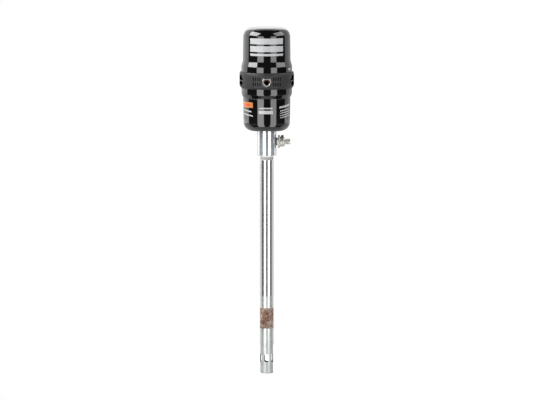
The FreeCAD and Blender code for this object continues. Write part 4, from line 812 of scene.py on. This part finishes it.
panels = [
    # name, azimuth from the front, azimuth to, elevation low, elevation high, radiance
    ("stripLeft", -46.5, -14.5, -45, 20, 3.05),
    ("stripRight", 18.5, 47.5, -45, 20, 2.55),
    ("keyLeft", -95, -51, 24, 58, 7.0),
    ("fillRight", 51, 95, 24, 58, 2.7),
    ("wallLeft", -160, -98, -4, 58, 1.25),
    ("wallRight", 98, 160, -4, 58, 0.76),
    ("lowWallLeft", -160, -98, -48, -2, 0.82),
    ("lowWallRight", 98, 160, -48, -2, 0.70),
    ("lowFillLeft", -94, -51, -26, -3.2, 0.16),
    ("lowFillRight", 51, 94, -26, -3.2, 0.24),
    ("backLow", 162, 198, 8, 22, 1.3),
    ("back", 160, 200, 22, 60, 2.1),
    ("backHigh", 160, 200, 60, 80, 0.9),
]


def addPanel(name, azimuthLow, azimuthHigh, elevationLow, elevationHigh, radiance):
    # a square light that covers these angles as seen from the pump's middle
    distance = studio["panelDistance"]
    azimuth = math.radians((azimuthLow + azimuthHigh) / 2)
    elevation = math.radians((elevationLow + elevationHigh) / 2)
    light = bpy.data.lights.new(name, "AREA")
    light.shape = "RECTANGLE"
    light.size = 2 * distance * math.tan(math.radians(azimuthHigh - azimuthLow) / 2)
    light.size_y = 2 * distance * math.tan(math.radians(elevationHigh - elevationLow) / 2)
    light.energy = radiance * math.pi * light.size * light.size_y
    lamp = linked(name, light)
    direction = Vector((math.sin(azimuth) * math.cos(elevation), -math.cos(azimuth) * math.cos(elevation),
                        math.sin(elevation)))
    lamp.rotation_mode = "QUATERNION"
    lamp.rotation_quaternion = direction.to_track_quat("Z", "Y")
    lamp.location = direction * distance + Vector((0, 0, studio["aimLevel"] / 2))
    lamp.visible_camera = False


def makeWorld():
    # white for the camera, and almost dark for all other rays
    world = bpy.data.worlds.new("studioWorld")
    world.use_nodes = True
    bpy.context.scene.world = world
    tree = world.node_tree
    background = tree.nodes["Background"]
    rays = tree.nodes.new("ShaderNodeLightPath")
    pale = tree.nodes.new("ShaderNodeMapRange")
    pale.inputs["To Min"].default_value = studio["skyForRays"]
    pale.inputs["To Max"].default_value = 1.0
    tree.links.new(rays.outputs["Is Camera Ray"], pale.inputs["Value"])
    tree.links.new(pale.outputs["Result"], background.inputs["Strength"])
    background.inputs["Color"].default_value = (1, 1, 1, 1)


def makeFloor():
    # a disc under the foot: matt, and white to the camera by a glow that no other ray sees
    steps = 96
    angle = np.linspace(0, 2 * np.pi, steps, endpoint=False)
    rings = np.array([0.0, 0.3, 0.6, 1.0])[:, None] * studio["floorRadius"]
    level = np.full((len(rings), steps), cadBox[0][2] - studio["floorGap"])
    points = np.stack([rings * np.cos(angle), rings * np.sin(angle), level], axis=2).reshape(-1, 3)
    floor = finishMesh("studioFloor", points, gridFaces(len(rings), steps, False, True))
    if floor.data.polygons[0].normal.z < 0:
        floor.data.flip_normals()
    look = {"colour": (studio["floorShade"],) * 3, "roughness": 0.9, "rough": (0.86, 0.94),
            "roughSpots": (60, 3)}
    material = newFinish("floorWhite", look["colour"], look["roughness"], Emission_Color=(1, 1, 1, 1))
    rays = addNode(material, "LightPath")
    glow = maths(material, "MULTIPLY", rays.outputs["Is Camera Ray"], studio["floorGlow"])
    connect(material, glow, "Emission Strength")
    roughen(material, look)
    floor.data.materials.append(material)


def makeCamera():
    camera = bpy.data.cameras.new("studioCamera")
    camera.lens = studio["lens"]
    camera.sensor_width = studio["sensor"]
    camera.clip_end = 60
    distance = studio["viewWidth"] * camera.lens / camera.sensor_width
    eye = linked("studioCamera", camera)
    elevation = math.radians(studio["cameraElevation"])
    direction = Vector((0, -math.cos(elevation), math.sin(elevation)))
    eye.location = Vector((studio["aimAcross"], 0, studio["aimLevel"])) + direction * distance
    eye.rotation_euler = (math.pi / 2 - elevation, 0, 0)
    bpy.context.scene.camera = eye


for panel in panels:
    addPanel(*panel)
makeWorld()
makeFloor()
makeCamera()
bpy.context.scene.view_settings.view_transform = "Standard"
print("stage: studio lit")
